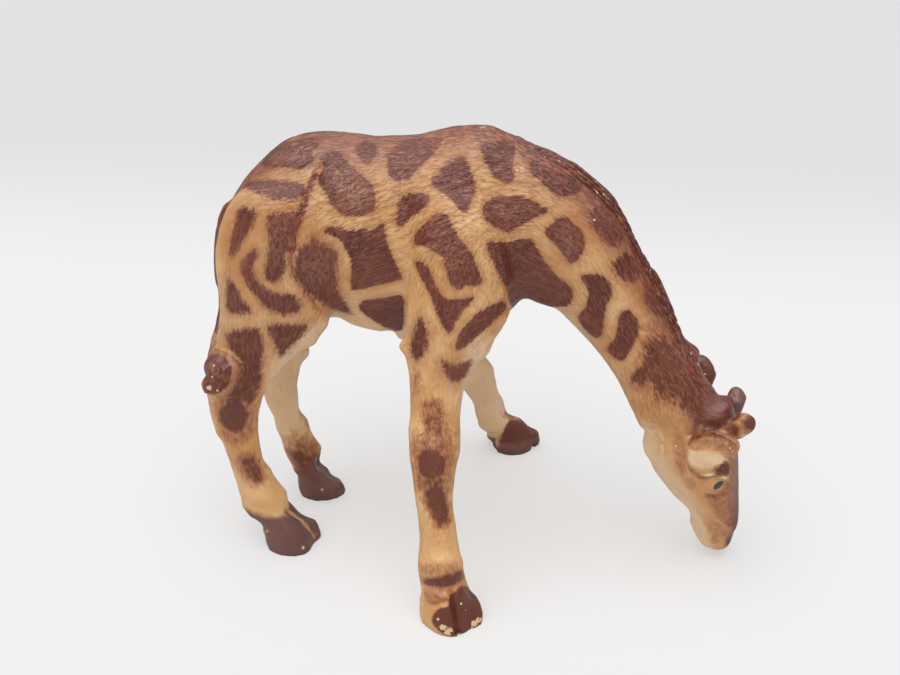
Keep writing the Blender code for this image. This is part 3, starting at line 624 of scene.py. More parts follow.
# Coats of paint in the order in which they are laid: the result, how strongly it shows, the colour under it and over
COATS = (
    ("coat", "golden", "tan", "gold"),
    ("coat", "warmed", "coat", "halo"),
    ("coat", "ringed", "coat", "halo"),
    ("coat", "groove_wash_and_shade", "coat", "halo"),
    ("coat", "cream", "coat", "cream"),
    ("coat", "sprayed", "coat", "brown_light"),
    # Rust and brown turn lighter on the locks: wear, and painted highlight
    ("rust", "worn", "brown", "rust"),
    ("brown", "rubbed_and_highlit", "brown", "brown_light"),
    ("coat", "soaked", "coat", "brown"),
    ("coat", "rusted", "coat", "rust"),
    ("patch", "pale", "patch", "patch_light"),
    ("patch", "thinned_and_sheen", "patch", "thin"),
    ("coat", "covered", "coat", "patch"),
    ("hoof", "scuffed", "hoof", "brown_light"),
    ("coat", "hoof", "coat", "hoof"),
    ("coat", "chipped", "coat", "chip"),
)
WORK = {}


def colour(code):
    """Linear red, green and blue of an sRGB hex code."""
    shares = [int(code[start:start + 2], 16) / 255 for start in (1, 3, 5)]
    return tuple(s / 12.92 if s <= 0.04045 else ((s + 0.055) / 1.055) ** 2.4 for s in shares)


class HideSettings(bpy.types.PropertyGroup):
    """Sizes of the moulded skin"""
    grain: FloatProperty(name="Grain", description="Width of the skin's cells before they are halved",
                         default=0.62 * MM, unit="LENGTH")
    swell: FloatProperty(name="Swell", description="How far each solid grows so that the seats close",
                         default=0.2 * MM, unit="LENGTH")
    blend_steps: IntProperty(name="Blend steps", description="Passes that round the joints of the solids",
                             default=60)
    wave_pitch: FloatProperty(name="Wave pitch", description="Distance from one long wave of the coat to the next",
                              default=1.7 * MM, unit="LENGTH")
    wave_depth: FloatProperty(name="Wave depth", description="Depth of the long waves of the coat",
                              default=0.11 * MM, unit="LENGTH")
    wave_length: FloatProperty(name="Wave length", description="Length of one wave of the coat",
                               default=4.0 * MM, unit="LENGTH")
    seed: IntProperty(name="Seed", description="Start of every random choice", default=7)


class ManeSettings(bpy.types.PropertyGroup):
    """Sizes of the short moulded mane"""
    spacing: FloatProperty(name="Spacing", description="Distance from one lock to the next in a row",
                           default=1.5 * MM, unit="LENGTH")
    length: FloatProperty(name="Length", description="Length of a lock", default=3.0 * MM, unit="LENGTH")
    width: FloatProperty(name="Width", description="Width of a lock", default=0.9 * MM, unit="LENGTH")
    sunk: FloatProperty(name="Sunk", description="How deep the ends of the rows lie under the skin",
                        default=0.7 * MM, unit="LENGTH")
    side: FloatProperty(name="Side", description="Angle of the two outer rows from the middle row",
                        default=math.radians(6), subtype="ANGLE")
    sway: FloatProperty(name="Sway", description="Largest turn of a lock out of line", default=math.radians(14),
                        subtype="ANGLE")
    seed: IntProperty(name="Seed", description="Start of the random sizes and turns", default=4)


class EyeSettings(bpy.types.PropertyGroup):
    """Size and colours of the painted eyes"""
    radius: FloatProperty(name="Radius", description="Radius of the ball of the eye", default=2.7 * MM,
                          unit="LENGTH")
    sunk: FloatProperty(name="Sunk", description="How deep the middle of the ball lies under the skin",
                        default=1.75 * MM, unit="LENGTH")
    pupil: FloatProperty(name="Pupil", description="Radius of the painted pupil", default=1.35 * MM, unit="LENGTH")
    white: FloatVectorProperty(name="White", description="Pale orange of the eye", subtype="COLOR",
                               default=colour("#D9A777"))
    grime: FloatVectorProperty(name="Grime", description="Brown film over the eye", subtype="COLOR",
                               default=colour("#C08A5C"))
    dark: FloatVectorProperty(name="Dark", description="Dark green grey of the pupil", subtype="COLOR",
                              default=colour("#3A4240"))


class PaintSettings(bpy.types.PropertyGroup):
    """Colours of the sprayed and brushed paint"""
    tan: FloatVectorProperty(name="Tan", description="Bare moulded colour", subtype="COLOR",
                             default=colour("#DFB17A"))
    gold: FloatVectorProperty(name="Gold", description="Deeper tan sprayed over the flanks", subtype="COLOR",
                              default=colour("#CB9054"))
    cream: FloatVectorProperty(name="Cream", description="Pale belly, jaw and inner ears", subtype="COLOR",
                               default=colour("#F0D6B2"))
    halo: FloatVectorProperty(name="Halo", description="Orange brown round each patch", subtype="COLOR",
                              default=colour("#A2623A"))
    patch: FloatVectorProperty(name="Patch", description="Brown in the grooves of the patches", subtype="COLOR",
                               default=colour("#5A2211"))
    # Lighter brown of the locks of the patches: thin paint, and painted highlight
    patch_light: FloatVectorProperty(name="Patch, light", description="Brown on the ridges of the patches",
                                     subtype="COLOR", default=colour("#95503A"))
    # Pale brown of the patches where they are worn thin, which also stands for painted sheen on them
    thin: FloatVectorProperty(name="Thin", description="Where the patches are worn thin", subtype="COLOR",
                              default=colour("#B07C66"))
    brown: FloatVectorProperty(name="Brown", description="Soft brown wash", subtype="COLOR",
                               default=colour("#5C2318"))
    # Also the lighter brown on the locks, where it is wear and painted highlight
    brown_light: FloatVectorProperty(name="Brown, light", description="Brown wash where it is worn thin",
                                     subtype="COLOR", default=colour("#A8683F"))
    rust: FloatVectorProperty(name="Rust", description="Reddish wash on the crest and the spine", subtype="COLOR",
                              default=colour("#A35B43"))
    hair_pitch: FloatProperty(name="Hair pitch", description="Distance from one lock of moulded hair to the next",
                              default=1.0 * MM, unit="LENGTH")
    hair_length: FloatProperty(name="Hair length", description="Length of one lock of moulded hair",
                               default=3.8 * MM, unit="LENGTH")
    hair_depth: FloatProperty(name="Hair depth", description="Depth of the grooves between the locks",
                              default=0.36 * MM, unit="LENGTH")
    hoof: FloatVectorProperty(name="Hoof", description="Brown of the hooves", subtype="COLOR",
                              default=colour("#6D4741"))
    chip: FloatVectorProperty(name="Chip", description="Bare plastic where the paint is chipped", subtype="COLOR",
                              default=colour("#E2C096"))


class StageSettings(bpy.types.PropertyGroup):
    """Floor and light"""
    floor: FloatVectorProperty(name="Floor", description="Colour of the paper under the figure", subtype="COLOR",
                               default=colour("#EEEEEE"))
    back: FloatVectorProperty(name="Back", description="Colour of the paper behind the figure", subtype="COLOR",
                              default=colour("#DEDEDE"))
    even: FloatProperty(name="Even", description="Share of the floor that is even white, not lit", default=0.5)
    lamp: FloatProperty(name="Lamp", description="Strength of the large soft lamp overhead", default=1.9)
    ambient: FloatProperty(name="Ambient", description="Strength of the light from all round", default=0.52)
    sheen: FloatProperty(name="Sheen", description="Strength of the ceiling where glossy paint reflects it",
                         default=1.15)


# Geometry helpers, all in millimetres

def unit(vectors):
    return vectors / np.maximum(np.linalg.norm(vectors, axis=-1, keepdims=True), 1e-9)


def ramp(low, high, values):
    """Smooth step from 0 at low to 1 at high."""
    share = np.clip((values - low) / (high - low), 0, 1)
    return share * share * (3 - 2 * share)


def sight(picture_point):
    """Direction from the camera through a point of the picture."""
    ahead = unit(CAMERA_AIM - CAMERA_PLACE)
    right = unit(np.cross(ahead, (0, 0, 1)))
    up = np.cross(right, ahead)
    focal = LENS / SENSOR * FRAME_WIDTH
    across = (picture_point[0] - FRAME_WIDTH / 2) / focal
    down = (picture_point[1] - FRAME_HEIGHT / 2) / focal
    return unit(ahead + across * right - down * up)


def at_depth(picture_point, depth):
    """Where the line of sight through a picture point crosses the upright plane at y = depth."""
    way = sight(picture_point)
    return CAMERA_PLACE + way * (depth - CAMERA_PLACE[1]) / way[1]


def value_noise(points, seed):
    """Smooth noise from -1 to 1 with cells one unit wide."""
    cell = np.floor(points).astype(np.int64)
    part = points - cell
    part = part * part * (3 - 2 * part)
    total = np.zeros(len(points))
    for corner in itertools.product((0, 1), repeat=3):
        key = cell + np.array(corner)
        code = key[:, 0] * 73856093 ^ key[:, 1] * 19349663 ^ key[:, 2] * 83492791 ^ seed * 26544357
        code = (code ^ code >> 13) * 1274126177 & 0x7FFFFFFF
        code = code ^ code >> 16
        weight = np.prod(np.where(np.array(corner) == 1, part, 1 - part), axis=1)
        total += weight * ((code & 0xFFFF) / 32767.5 - 1)
    return total


def nearest_on(line, places):
    """Distance along a bent line, nearest point and direction of the line there, for each place."""
    runs = line[1:] - line[:-1]
    lengths = np.linalg.norm(runs, axis=1)
    begun = np.concatenate(([0], np.cumsum(lengths)))
    bends = unit(np.concatenate((runs[:1], runs[:-1] + runs[1:], runs[-1:])))
    gap = np.full(len(places), np.inf)
    along = np.zeros(len(places))
    foot = np.zeros((len(places), 3))
    ahead = np.zeros((len(places), 3))
    for index, run in enumerate(runs):
        share = np.clip((places - line[index]) @ run / lengths[index] ** 2, 0, 1)
        spot = line[index] + share[:, None] * run
        distance = np.linalg.norm(places - spot, axis=1)
        nearer = distance < gap
        gap[nearer] = distance[nearer]
        along[nearer] = begun[index] + share[nearer] * lengths[index]
        foot[nearer] = spot[nearer]
        mixed = bends[index] * (1 - share[:, None]) + bends[index + 1] * share[:, None]
        ahead[nearer] = unit(mixed)[nearer]
    return along, gap, foot, ahead


def upright(ahead):
    """Upward direction square to each direction of a line."""
    level = np.array((0.0, 0.0, 1.0))
    return unit(level - (ahead @ level)[:, None] * ahead)


def smooth_outline(points, steps):
    """Closed curve through the points, as many steps from one to the next."""
    before = np.roll(points, 1, axis=0)[:, None]
    after = np.roll(points, -1, axis=0)[:, None]
    beyond = np.roll(points, -2, axis=0)[:, None]
    here = points[:, None]
    share = np.arange(steps)[None, :, None] / steps
    curve = 0.5 * (2 * here + (after - before) * share + (2 * before - 5 * here + 4 * after - beyond) * share ** 2
                   + (3 * here - before - 3 * after + beyond) * share ** 3)
    return curve.reshape(-1, points.shape[1])


def depth_inside(outline, spots):
    """Distance of each flat spot from a closed outline, positive inside it."""
    ends = np.roll(outline, -1, axis=0)
    edges = ends - outline
    offset = spots[:, None] - outline[None]
    share = np.clip((offset * edges).sum(-1) / np.maximum((edges ** 2).sum(-1), 1e-9), 0, 1)
    gap = np.linalg.norm(offset - share[..., None] * edges, axis=-1).min(1)
    level = spots[:, 1:2]
    rise = ends[:, 1] - outline[:, 1]
    rise = np.where(np.abs(rise) < 1e-9, 1e-9, rise)
    crossed = outline[:, 0] + edges[:, 0] * (level - outline[:, 1]) / rise
    passes = ((outline[:, 1] > level) != (ends[:, 1] > level)) & (spots[:, :1] < crossed)
    return np.where(passes.sum(1) % 2 == 1, gap, -gap)


def edge_pairs(cells):
    """The two ends of every side of every cell."""
    return np.concatenate([cells[:, [side, (side + 1) % 4]] for side in range(4)])


def islands(count, pairs):
    """The lowest member of the linked group that each item is in."""
    label = np.arange(count)
    while True:
        low = np.minimum(label[pairs[:, 0]], label[pairs[:, 1]])
        fresh = label.copy()
        np.minimum.at(fresh, pairs[:, 0], low)
        np.minimum.at(fresh, pairs[:, 1], low)
        fresh = fresh[fresh]
        if (fresh == label).all():
            return label
        label = fresh


class Hide:
    """The whole figure as one skin of small four-sided cells, before it is cut into its mouldings."""

    def __init__(self, settings):
        self.names = list(MOULDINGS)
        self.blend(settings)
        self.refine()
        line = [*TORSO_LINE, *NECK_LINE, *HEAD_LINE]
        self.middle = np.array([at_depth(point[:2], point[2]) for point in line])
        self.legs = {name: self.leg_line(name) for name in self.names if "leg" in name}

    def blend(self, settings):
        """Joins the solids into one skin and rounds the hollows where they meet."""
        joined = bmesh.new()
        trees = {}
        for name in self.names:
            solid = bmesh.new()
            solid.from_mesh(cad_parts[name].data)
            bmesh.ops.remove_doubles(solid, verts=solid.verts, dist=1e-6)
            solid.normal_update()
            trees[name] = BVHTree.FromBMesh(solid)
            for vert in solid.verts:
                vert.co += vert.normal * settings.swell
            grown = bpy.data.meshes.new("grown")
            solid.to_mesh(grown)
            joined.from_mesh(grown)
            solid.free()
            bpy.data.meshes.remove(grown)
        mesh = bpy.data.meshes.new("hide")
        joined.to_mesh(mesh)
        joined.free()
        body = bpy.data.objects.new("hide", mesh)
        bpy.context.scene.collection.objects.link(body)
        remesh = body.modifiers.new("skin", "REMESH")
        remesh.mode = "VOXEL"
        remesh.voxel_size = settings.grain * 1.0
        skin = bpy.data.meshes.new_from_object(body.evaluated_get(bpy.context.evaluated_depsgraph_get()))
        bpy.data.objects.remove(body)
        bpy.data.meshes.remove(mesh)
        self.read(skin)
        bpy.data.meshes.remove(skin)
        self.keep_largest()
        self.measure(trees)
        self.round_joints(settings.blend_steps)

    def read(self, mesh):
        """Takes the points, in millimetres, and the cells of a mesh."""
        places = np.empty(len(mesh.vertices) * 3)
        mesh.vertices.foreach_get("co", places)
        self.places = places.reshape(-1, 3) / MM
        corners = np.empty(len(mesh.loops), dtype=np.int64)
        mesh.loops.foreach_get("vertex_index", corners)
        totals = np.empty(len(mesh.polygons), dtype=np.int64)
        mesh.polygons.foreach_get("loop_total", totals)
        if (totals != 4).any():
            raise RuntimeError("the skin has a cell that isn't four-sided")
        self.cells = corners.reshape(-1, 4)

    def keep_largest(self):
        """Drops the closed pockets that are left inside the seats."""
        label = islands(len(self.places), edge_pairs(self.cells))
        kept = label == np.bincount(label).argmax()
        number = np.cumsum(kept) - 1
        self.places = self.places[kept]
        self.cells = number[self.cells[kept[self.cells[:, 0]]]]

    def measure(self, trees):
        """Distance of each point of the skin from each solid, up to REACH."""
        self.near = np.full((len(self.places), len(self.names)), REACH)
        for column, name in enumerate(self.names):
            low, high = [np.array(corner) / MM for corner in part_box(name)]
            reach = SMALL_JOINTS.get(name.split("_")[0], REACH)
            close = ((self.places > low - reach) & (self.places < high + reach)).all(1)
            for index in np.flatnonzero(close):
                found = trees[name].find_nearest(Vector(self.places[index] * MM), REACH * MM)
                if found[3] is not None:
                    self.near[index, column] = found[3] / MM

    def round_joints(self, steps):
        """Evens out the skin where two mouldings meet."""
        ranked = np.argsort(self.near, axis=1)
        second = np.take_along_axis(self.near, ranked[:, 1:2], axis=1)[:, 0]
        reach = np.array([SMALL_JOINTS.get(name.split("_")[0], WIDE_JOINT) for name in self.names])
        allowed = np.minimum(reach[ranked[:, 0]], reach[ranked[:, 1]])
        share = np.maximum(1 - ramp(*JOINT_FADE, second / allowed), LEAST_ROUNDING)[:, None]
        pairs = np.unique(np.sort(edge_pairs(self.cells), axis=1), axis=0)
        counts = np.bincount(pairs.ravel(), minlength=len(self.places))[:, None]
        for _ in range(steps):
            total = np.empty_like(self.places)
            for axis in range(3):
                total[:, axis] = np.bincount(pairs[:, 0], self.places[pairs[:, 1], axis], len(self.places))
                total[:, axis] += np.bincount(pairs[:, 1], self.places[pairs[:, 0], axis], len(self.places))
            self.places += 0.5 * share * (total / counts - self.places)

    def refine(self):
        """Halves the cells and keeps the distances with them."""
        mesh = bpy.data.meshes.new("fine")
        mesh.from_pydata((self.places * MM).tolist(), [], self.cells.tolist())
        for column, name in enumerate(self.names):
            layer = mesh.attributes.new("near_" + name, "FLOAT", "POINT")
            layer.data.foreach_set("value", self.near[:, column])
        body = bpy.data.objects.new("fine", mesh)
        bpy.context.scene.collection.objects.link(body)
        halving = body.modifiers.new("halving", "SUBSURF")
        halving.levels = halving.render_levels = 1
        fine = bpy.data.meshes.new_from_object(body.evaluated_get(bpy.context.evaluated_depsgraph_get()))
        self.read(fine)
        self.near = np.empty((len(self.places), len(self.names)))
        for column, name in enumerate(self.names):
            values = np.empty(len(self.places))
            fine.attributes["near_" + name].data.foreach_get("value", values)
            self.near[:, column] = values
        bpy.data.objects.remove(body)
        bpy.data.meshes.remove(mesh)
        bpy.data.meshes.remove(fine)
        self.settle()

    def settle(self):
        """Flattens the soles onto the floor and looks up the shape anew."""
        self.places[:, 2] = np.where(self.places[:, 2] < SOLE_HEIGHT, 0, self.places[:, 2])
        corners = self.places[self.cells]
        across = np.cross(corners[:, 2] - corners[:, 0], corners[:, 3] - corners[:, 1])
        total = np.zeros_like(self.places)
        for column in range(4):
            for axis in range(3):
                total[:, axis] += np.bincount(self.cells[:, column], across[:, axis], len(self.places))
        self.outward = unit(total)
        self.tree = BVHTree.FromPolygons(self.places.tolist(), self.cells.tolist())

    def soften(self, values, steps):
        """Spreads painted values over their neighbours on the skin."""
        pairs = np.unique(np.sort(edge_pairs(self.cells), axis=1), axis=0)
        counts = np.bincount(pairs.ravel(), minlength=len(values))
        for _ in range(steps):
            total = np.bincount(pairs[:, 0], values[pairs[:, 1]], len(values))
            total += np.bincount(pairs[:, 1], values[pairs[:, 0]], len(values))
            values = 0.4 * values + 0.6 * total / counts
        return values

    def apart(self, name):
        """Distance of each point from one solid."""
        return self.near[:, self.names.index(name)]

    def owned(self, name):
        """Which points lie nearest to one solid."""
        return self.near.argmin(axis=1) == self.names.index(name)

    def leg_line(self, name):
        """Middle of a leg or the tail from its top to its lowest point, as its own slices show it."""
        own = self.places[self.owned(name)]
        heights = np.linspace(own[:, 2].max() - SLICE_HEIGHT / 2, own[:, 2].min(), LEG_SLICES)
        middles = [own[np.abs(own[:, 2] - height) < SLICE_HEIGHT / 2].mean(axis=0) for height in heights]
        return np.array([(spot[0], spot[1], height) for spot, height in zip(middles, heights)])

    def anchor(self, picture_point):
        """The point of the skin that shows at a picture point, or the nearest one beside it."""
        way = sight(picture_point)
        hit = self.tree.ray_cast(Vector(CAMERA_PLACE), Vector(way))
        if hit[0] is not None:
            return np.array(hit[0]), np.array(hit[1])
        middle = (CAMERA_AIM - CAMERA_PLACE) @ way
        tries = [self.tree.find_nearest(Vector(CAMERA_PLACE + way * (middle + step)))
                 for step in np.linspace(-SEARCH_DEPTH, SEARCH_DEPTH, SEARCH_STEPS)]
        best = min(tries, key=lambda found: found[3])
        return np.array(best[0]), np.array(best[1])

    def anchors(self, picture_points):
        """Places on the skin under picture points, and the outward direction at each."""
        found = [self.anchor(point) for point in picture_points]
        return np.array([spot for spot, _ in found]), unit(np.array([normal for _, normal in found]))

    def other_side(self, group, spots, facing):
        """The same places on the animal's other side, or on its other leg."""
        if group in ("foreleg", "hindleg"):
            own, other = self.legs[group + "_right"], self.legs[group + "_left"]
            foot = nearest_on(own, spots)[2]
            heights = foot[:, 2] * other[0, 2] / own[0, 2]
            target = np.stack([np.interp(heights, other[::-1, 2], other[::-1, axis]) for axis in range(3)], axis=1)
            flip = np.array((1.0, -1.0, 1.0))
            placed = target + (spots - foot) * flip
            return np.array([self.tree.find_nearest(Vector(spot))[0] for spot in placed]), facing * flip
        _, _, foot, ahead = nearest_on(self.middle, spots)
        side = np.cross(ahead, upright(ahead))
        offset = spots - foot
        placed = foot + offset - 2 * (offset * side).sum(1, keepdims=True) * side
        turned = facing - 2 * (facing * side).sum(1, keepdims=True) * side
        return np.array([self.tree.find_nearest(Vector(spot))[0] for spot in placed]), turned

    def inside(self, spots, facing):
        """Distance inside an outline that lies on the skin, for the points of the skin near it."""
        toward = unit(facing.mean(axis=0))
        middle = spots.mean(axis=0)
        across = unit(np.cross(toward, (0.0, 0.0, 1.0)))
        plane = np.stack((across, np.cross(toward, across)), axis=1)
        width = np.linalg.norm(spots - middle, axis=1).max() + SPILL
        close = np.flatnonzero((np.linalg.norm(self.places - middle, axis=1) < width)
                               & (self.outward @ toward > FACING_LIMIT))
        return close, depth_inside((spots - middle) @ plane, (self.places[close] - middle) @ plane)

    def press(self, spots, facing, half_width, height):
        """Raises or sinks the skin along a line of places on it."""
        reach = PRESS_REACH * half_width
        low, high = spots.min(axis=0) - reach, spots.max(axis=0) + reach
        toward = self.outward @ unit(facing.mean(axis=0))
        close = np.flatnonzero(((self.places > low) & (self.places < high)).all(1) & (toward > PRESS_FACING[0]))
        if len(close):
            gap = nearest_on(spots, self.places[close])[1]
            share = np.exp(-(gap / half_width) ** 2) * ramp(*PRESS_FACING, toward[close])
            self.places[close] += self.outward[close] * (height * share)[:, None]


def hide(context):
    """The skin, made at the first call and kept for the operators that follow."""
    if "hide" not in WORK:
        skin = Hide(context.scene.calf_hide)
        sculpt(skin)
        coat(skin, context.scene.calf_hide)
        paint(skin, context.scene.calf_hide.seed)
        WORK["hide"] = skin
        WORK["owner"] = owners(skin)
    return WORK["hide"]


def sculpt(skin):
    """Presses and drags the forms that the photograph shows, and presses their likes on the other side."""
    for group, strokes in STROKES.items():
        for points, half_width, height in strokes.values():
            spots, facing = skin.anchors(points)
            skin.press(spots, facing, half_width, height)
            if group != "only":
                spots, facing = skin.other_side(group, spots, facing)
                skin.press(spots, facing, half_width, height)
    for point, shift, reach in DRAGS.values():
        spot = skin.anchor(point)[0]
        way = sight(point)
        moved = at_depth(np.add(point, shift), spot[1]) - at_depth(point, spot[1])
        behind = (skin.places - spot) @ way
        beside = np.linalg.norm(skin.places - spot - behind[:, None] * way, axis=1)
        share = np.exp(-(beside / reach) ** 2) * (1 - ramp(*DRAG_DEPTHS, np.abs(behind)))
        skin.places += moved * share[:, None]
    skin.settle()


def coat(skin, settings):
    """Presses the waves of the coat into the skin, in the lay that the guides give."""
    guides = []
    for start, end, strength in HAIR:
        spots, facing = skin.anchors((start, end))
        group = "hindleg" if start[0] < HAUNCH_CORNER[0] and start[1] > HAUNCH_CORNER[1] else "body"
        for ends in (spots, skin.other_side(group, spots, facing)[0]):
            guides.append((*ends.mean(axis=0), *unit(ends[1] - ends[0]), strength))
    for name, line in (*skin.legs.items(), ("tail", skin.leg_line("tail"))):
        low = line if name == "tail" else line[line[:, 2] < SHANK_HEIGHT]
        strength = TAIL_HAIR if name == "tail" else SHANK_HAIR
        for start, end in zip(low[:-1], low[1:]):
            guides.append((*((start + end) / 2), *unit(end - start), strength))
    guides = np.array(guides)
    lay = np.empty_like(skin.places)
    strength = np.empty(len(skin.places))
    for part in np.array_split(np.arange(len(skin.places)), 12):
        gap = ((skin.places[part][:, None] - guides[None, :, :3]) ** 2).sum(-1)
        weight = 1 / (gap + GUIDE_SPREAD) ** 2
        weight /= weight.sum(axis=1, keepdims=True)
        lay[part] = weight @ guides[:, 3:6]
        strength[part] = weight @ guides[:, 6]
    lay = unit(lay - (lay * skin.outward).sum(1, keepdims=True) * skin.outward)
    across = np.cross(skin.outward, lay)
    pitch = settings.wave_pitch / MM
    half = settings.wave_length / MM / 2
    wave = value_noise(skin.places / 2.6, settings.seed)
    start = skin.places + across * (0.38 * pitch * wave)[:, None]
    relief = np.zeros(len(skin.places))
    for share in np.linspace(-1, 1, 9):
        step = start + lay * (share * half)
        relief += value_noise(step / (0.42 * pitch), settings.seed + 1) * (1 - 0.6 * share * share)
    relief = np.clip(relief / relief.std() * 0.55, -1, 1)
    for name in skin.names:
        if name.startswith(("ear", "horn", "head")):
            strength *= 0.45 + 0.55 * ramp(0.0, 3.0, skin.apart(name))
    skin.strength = strength * (0.4 + 0.6 * ramp(*HOOF_CALM, skin.places[:, 2]))
    skin.relief = relief * skin.strength
    skin.lay = lay
    skin.places += skin.outward * (skin.relief * settings.wave_depth / MM)[:, None]
    skin.settle()


def washed(skin, groups):
    """How strongly a table of sprayed and brushed outlines covers each point of the skin."""
    cover = np.zeros(len(skin.places))
    for group, washes in groups.items():
        share = np.ones(len(skin.places))
        if group in MASKED:
            share = 1 - ramp(*MASKED[group], skin.apart(group))
        for outline, edge, strength in washes.values():
            spots, facing = skin.anchors(smooth_outline(np.array(outline, dtype=float), OUTLINE_STEPS))
            sides = [(spots, facing)]
            if group != "only" and group not in MASKED:
                sides.append(skin.other_side(group, spots, facing))
            for ends, toward in sides:
                close, depth = skin.inside(ends, toward)
                cover[close] = np.maximum(cover[close], strength * (ramp(-edge, edge, depth) * share[close]))
    return cover


def patched(skin, seed):
    """Distance inside the dark patches, which are a little stretched and shifted on the other side."""
    chance = np.random.default_rng(seed)
    patch = np.full(len(skin.places), -SPILL)
    for group, outlines in (("body", BODY_PATCHES), ("neck", NECK_PATCHES), *LEG_PATCHES.items()):
        for name, outline in outlines.items():
            spots, facing = skin.anchors(smooth_outline(np.array(outline, dtype=float), OUTLINE_STEPS))
            others, turned = skin.other_side(group, spots, facing)
            middle = others.mean(axis=0)
            stretch = 1 + chance.uniform(*FAR_STRETCH, 3)
            others = middle + (others - middle) * stretch + chance.uniform(-FAR_SHIFT, FAR_SHIFT, 3)
            crisp = SOFT_EDGE if group in LEG_PATCHES or name in SPRAYED else 1.0
            for ends, toward in ((spots, facing), (others, turned)):
                close, depth = skin.inside(ends, toward)
                patch[close] = np.maximum(patch[close], depth * crisp)
    return patch


def faded(shade, tilt):
    """Strength of a shade by the angle from the body's top, full at the top."""
    first, last, strength = shade
    return strength * (1 - ramp(first, last, tilt))


def shaded(skin):
    """Rust on crest and spine, warm tan on back and flanks, and cream below and on the inner legs."""
    along, _, foot, ahead = nearest_on(skin.middle, skin.places)
    lean = (unit(skin.places - foot) * upright(ahead)).sum(1)
    tilt = np.degrees(np.arccos(np.clip(lean, -1, 1)))
    neck_start = nearest_on(skin.middle, at_depth(NECK_LINE[0][:2], NECK_LINE[0][2])[None])[0][0]
    on_neck = ramp(neck_start + NECK_FADE[0], neck_start + NECK_FADE[1], along)
    on_trunk = 1 - ramp(*TRUNK_FADE, np.minimum.reduce([skin.apart(name) for name in ("torso", "neck", "head")]))
    on_head = 1 - ramp(*HEAD_FADE, skin.apart("head"))
    crest = sum(faded(shade, tilt) for shade in CREST_SHADES)
    rust = on_trunk * (on_neck * crest + (1 - on_neck) * faded(SPINE_SHADE, tilt))
    warm = on_trunk * (NECK_WARMTH * on_neck + faded(FLANK_SHADE, tilt))
    cream = on_trunk * ramp(*BELLY_ANGLES, tilt) * (BELLY_CREAM + JAW_CREAM * on_head)
    for name in skin.legs:
        inner = skin.outward[:, 1] if name.endswith("right") else -skin.outward[:, 1]
        pale = np.maximum(cream, INNER_LEG_CREAM * ramp(*INNER_FACING, inner))
        cream = np.where(skin.owned(name), pale, cream)
    return [skin.soften(values, SHADE_PASSES) for values in (rust, warm, cream)]


def shod(skin, seed):
    """Dark paint on the hooves, with an uneven upper edge and lines scraped bare."""
    uneven = UNEVEN_EDGE * value_noise(skin.places / UNEVEN_PITCH, seed + 3)
    hoof = np.zeros(len(skin.places))
    for name, height in HOOF_HEIGHTS.items():
        low = 1 - ramp(*HOOF_FADE, skin.places[:, 2] + uneven - height)
        hoof = np.maximum(hoof, np.where(skin.owned(name), low, 0))
    ahead = skin.places[:, 0] - skin.legs["foreleg_right"][-1, 0]
    toe = ramp(*TOE_FACING, skin.outward[:, 1]) * ramp(*TOE_AHEAD, ahead) * (1 - ramp(*TOE_TOP, skin.places[:, 2]))
    hoof = np.maximum(hoof, np.where(skin.owned("foreleg_right"), toe, 0))
    for points, width in SCRAPES:
        gap = nearest_on(skin.anchors(np.array(points, dtype=float))[0], skin.places)[1]
        hoof *= SCRAPED + (1 - SCRAPED) * ramp(0.4 * width, 1.5 * width, gap)
    return hoof


def chipped(skin):
    """Small spots of bare plastic, each clear inside and fading out at its rim."""
    chip = np.zeros(len(skin.places))
    for across, down, width in CHIPS:
        spot = skin.anchor((across, down))[0]
        chip = np.maximum(chip, CHIP_RIM - np.linalg.norm(skin.places - spot, axis=1) / width)
    return np.clip(chip, 0, 1)


def paint(skin, seed):
    """Where each colour of paint lies on the skin."""
    rust, warm, cream = shaded(skin)
    # Cream of the pale washes, with painted light on the far thigh and shin
    cream = np.maximum(cream, washed(skin, PALE_WASHES_AND_PAINTED_LIGHT))
    back = ramp(*EAR_FACING, skin.outward @ -sight(FAR_EAR))
    cream = np.where(skin.owned("ear_left"), FAR_EAR_CREAM * (1 - back), cream)
    skin.paint = {
        "patch": patched(skin, seed),
        # Patches worn thin, with painted sheen on them
        "thin": washed(skin, THIN_PAINT_AND_SHEEN),
        # Brown washes, with painted shadow under the near ear
        "brown": np.where(skin.owned("ear_left"), back, washed(skin, BROWN_WASHES_AND_SHADE)),
        "rust": np.where(skin.owned("tail"), TAIL_RUST, rust),
        "warm": warm,
        "cream": np.where(skin.owned("horn_right"), NEAR_HORN_CREAM, cream),
        "hoof": np.where(skin.owned("horn_left"), 1.0, shod(skin, seed)),
        "chip": chipped(skin),
        "relief": skin.relief,
        "hair": skin.strength,
        "lay": skin.lay,
    }


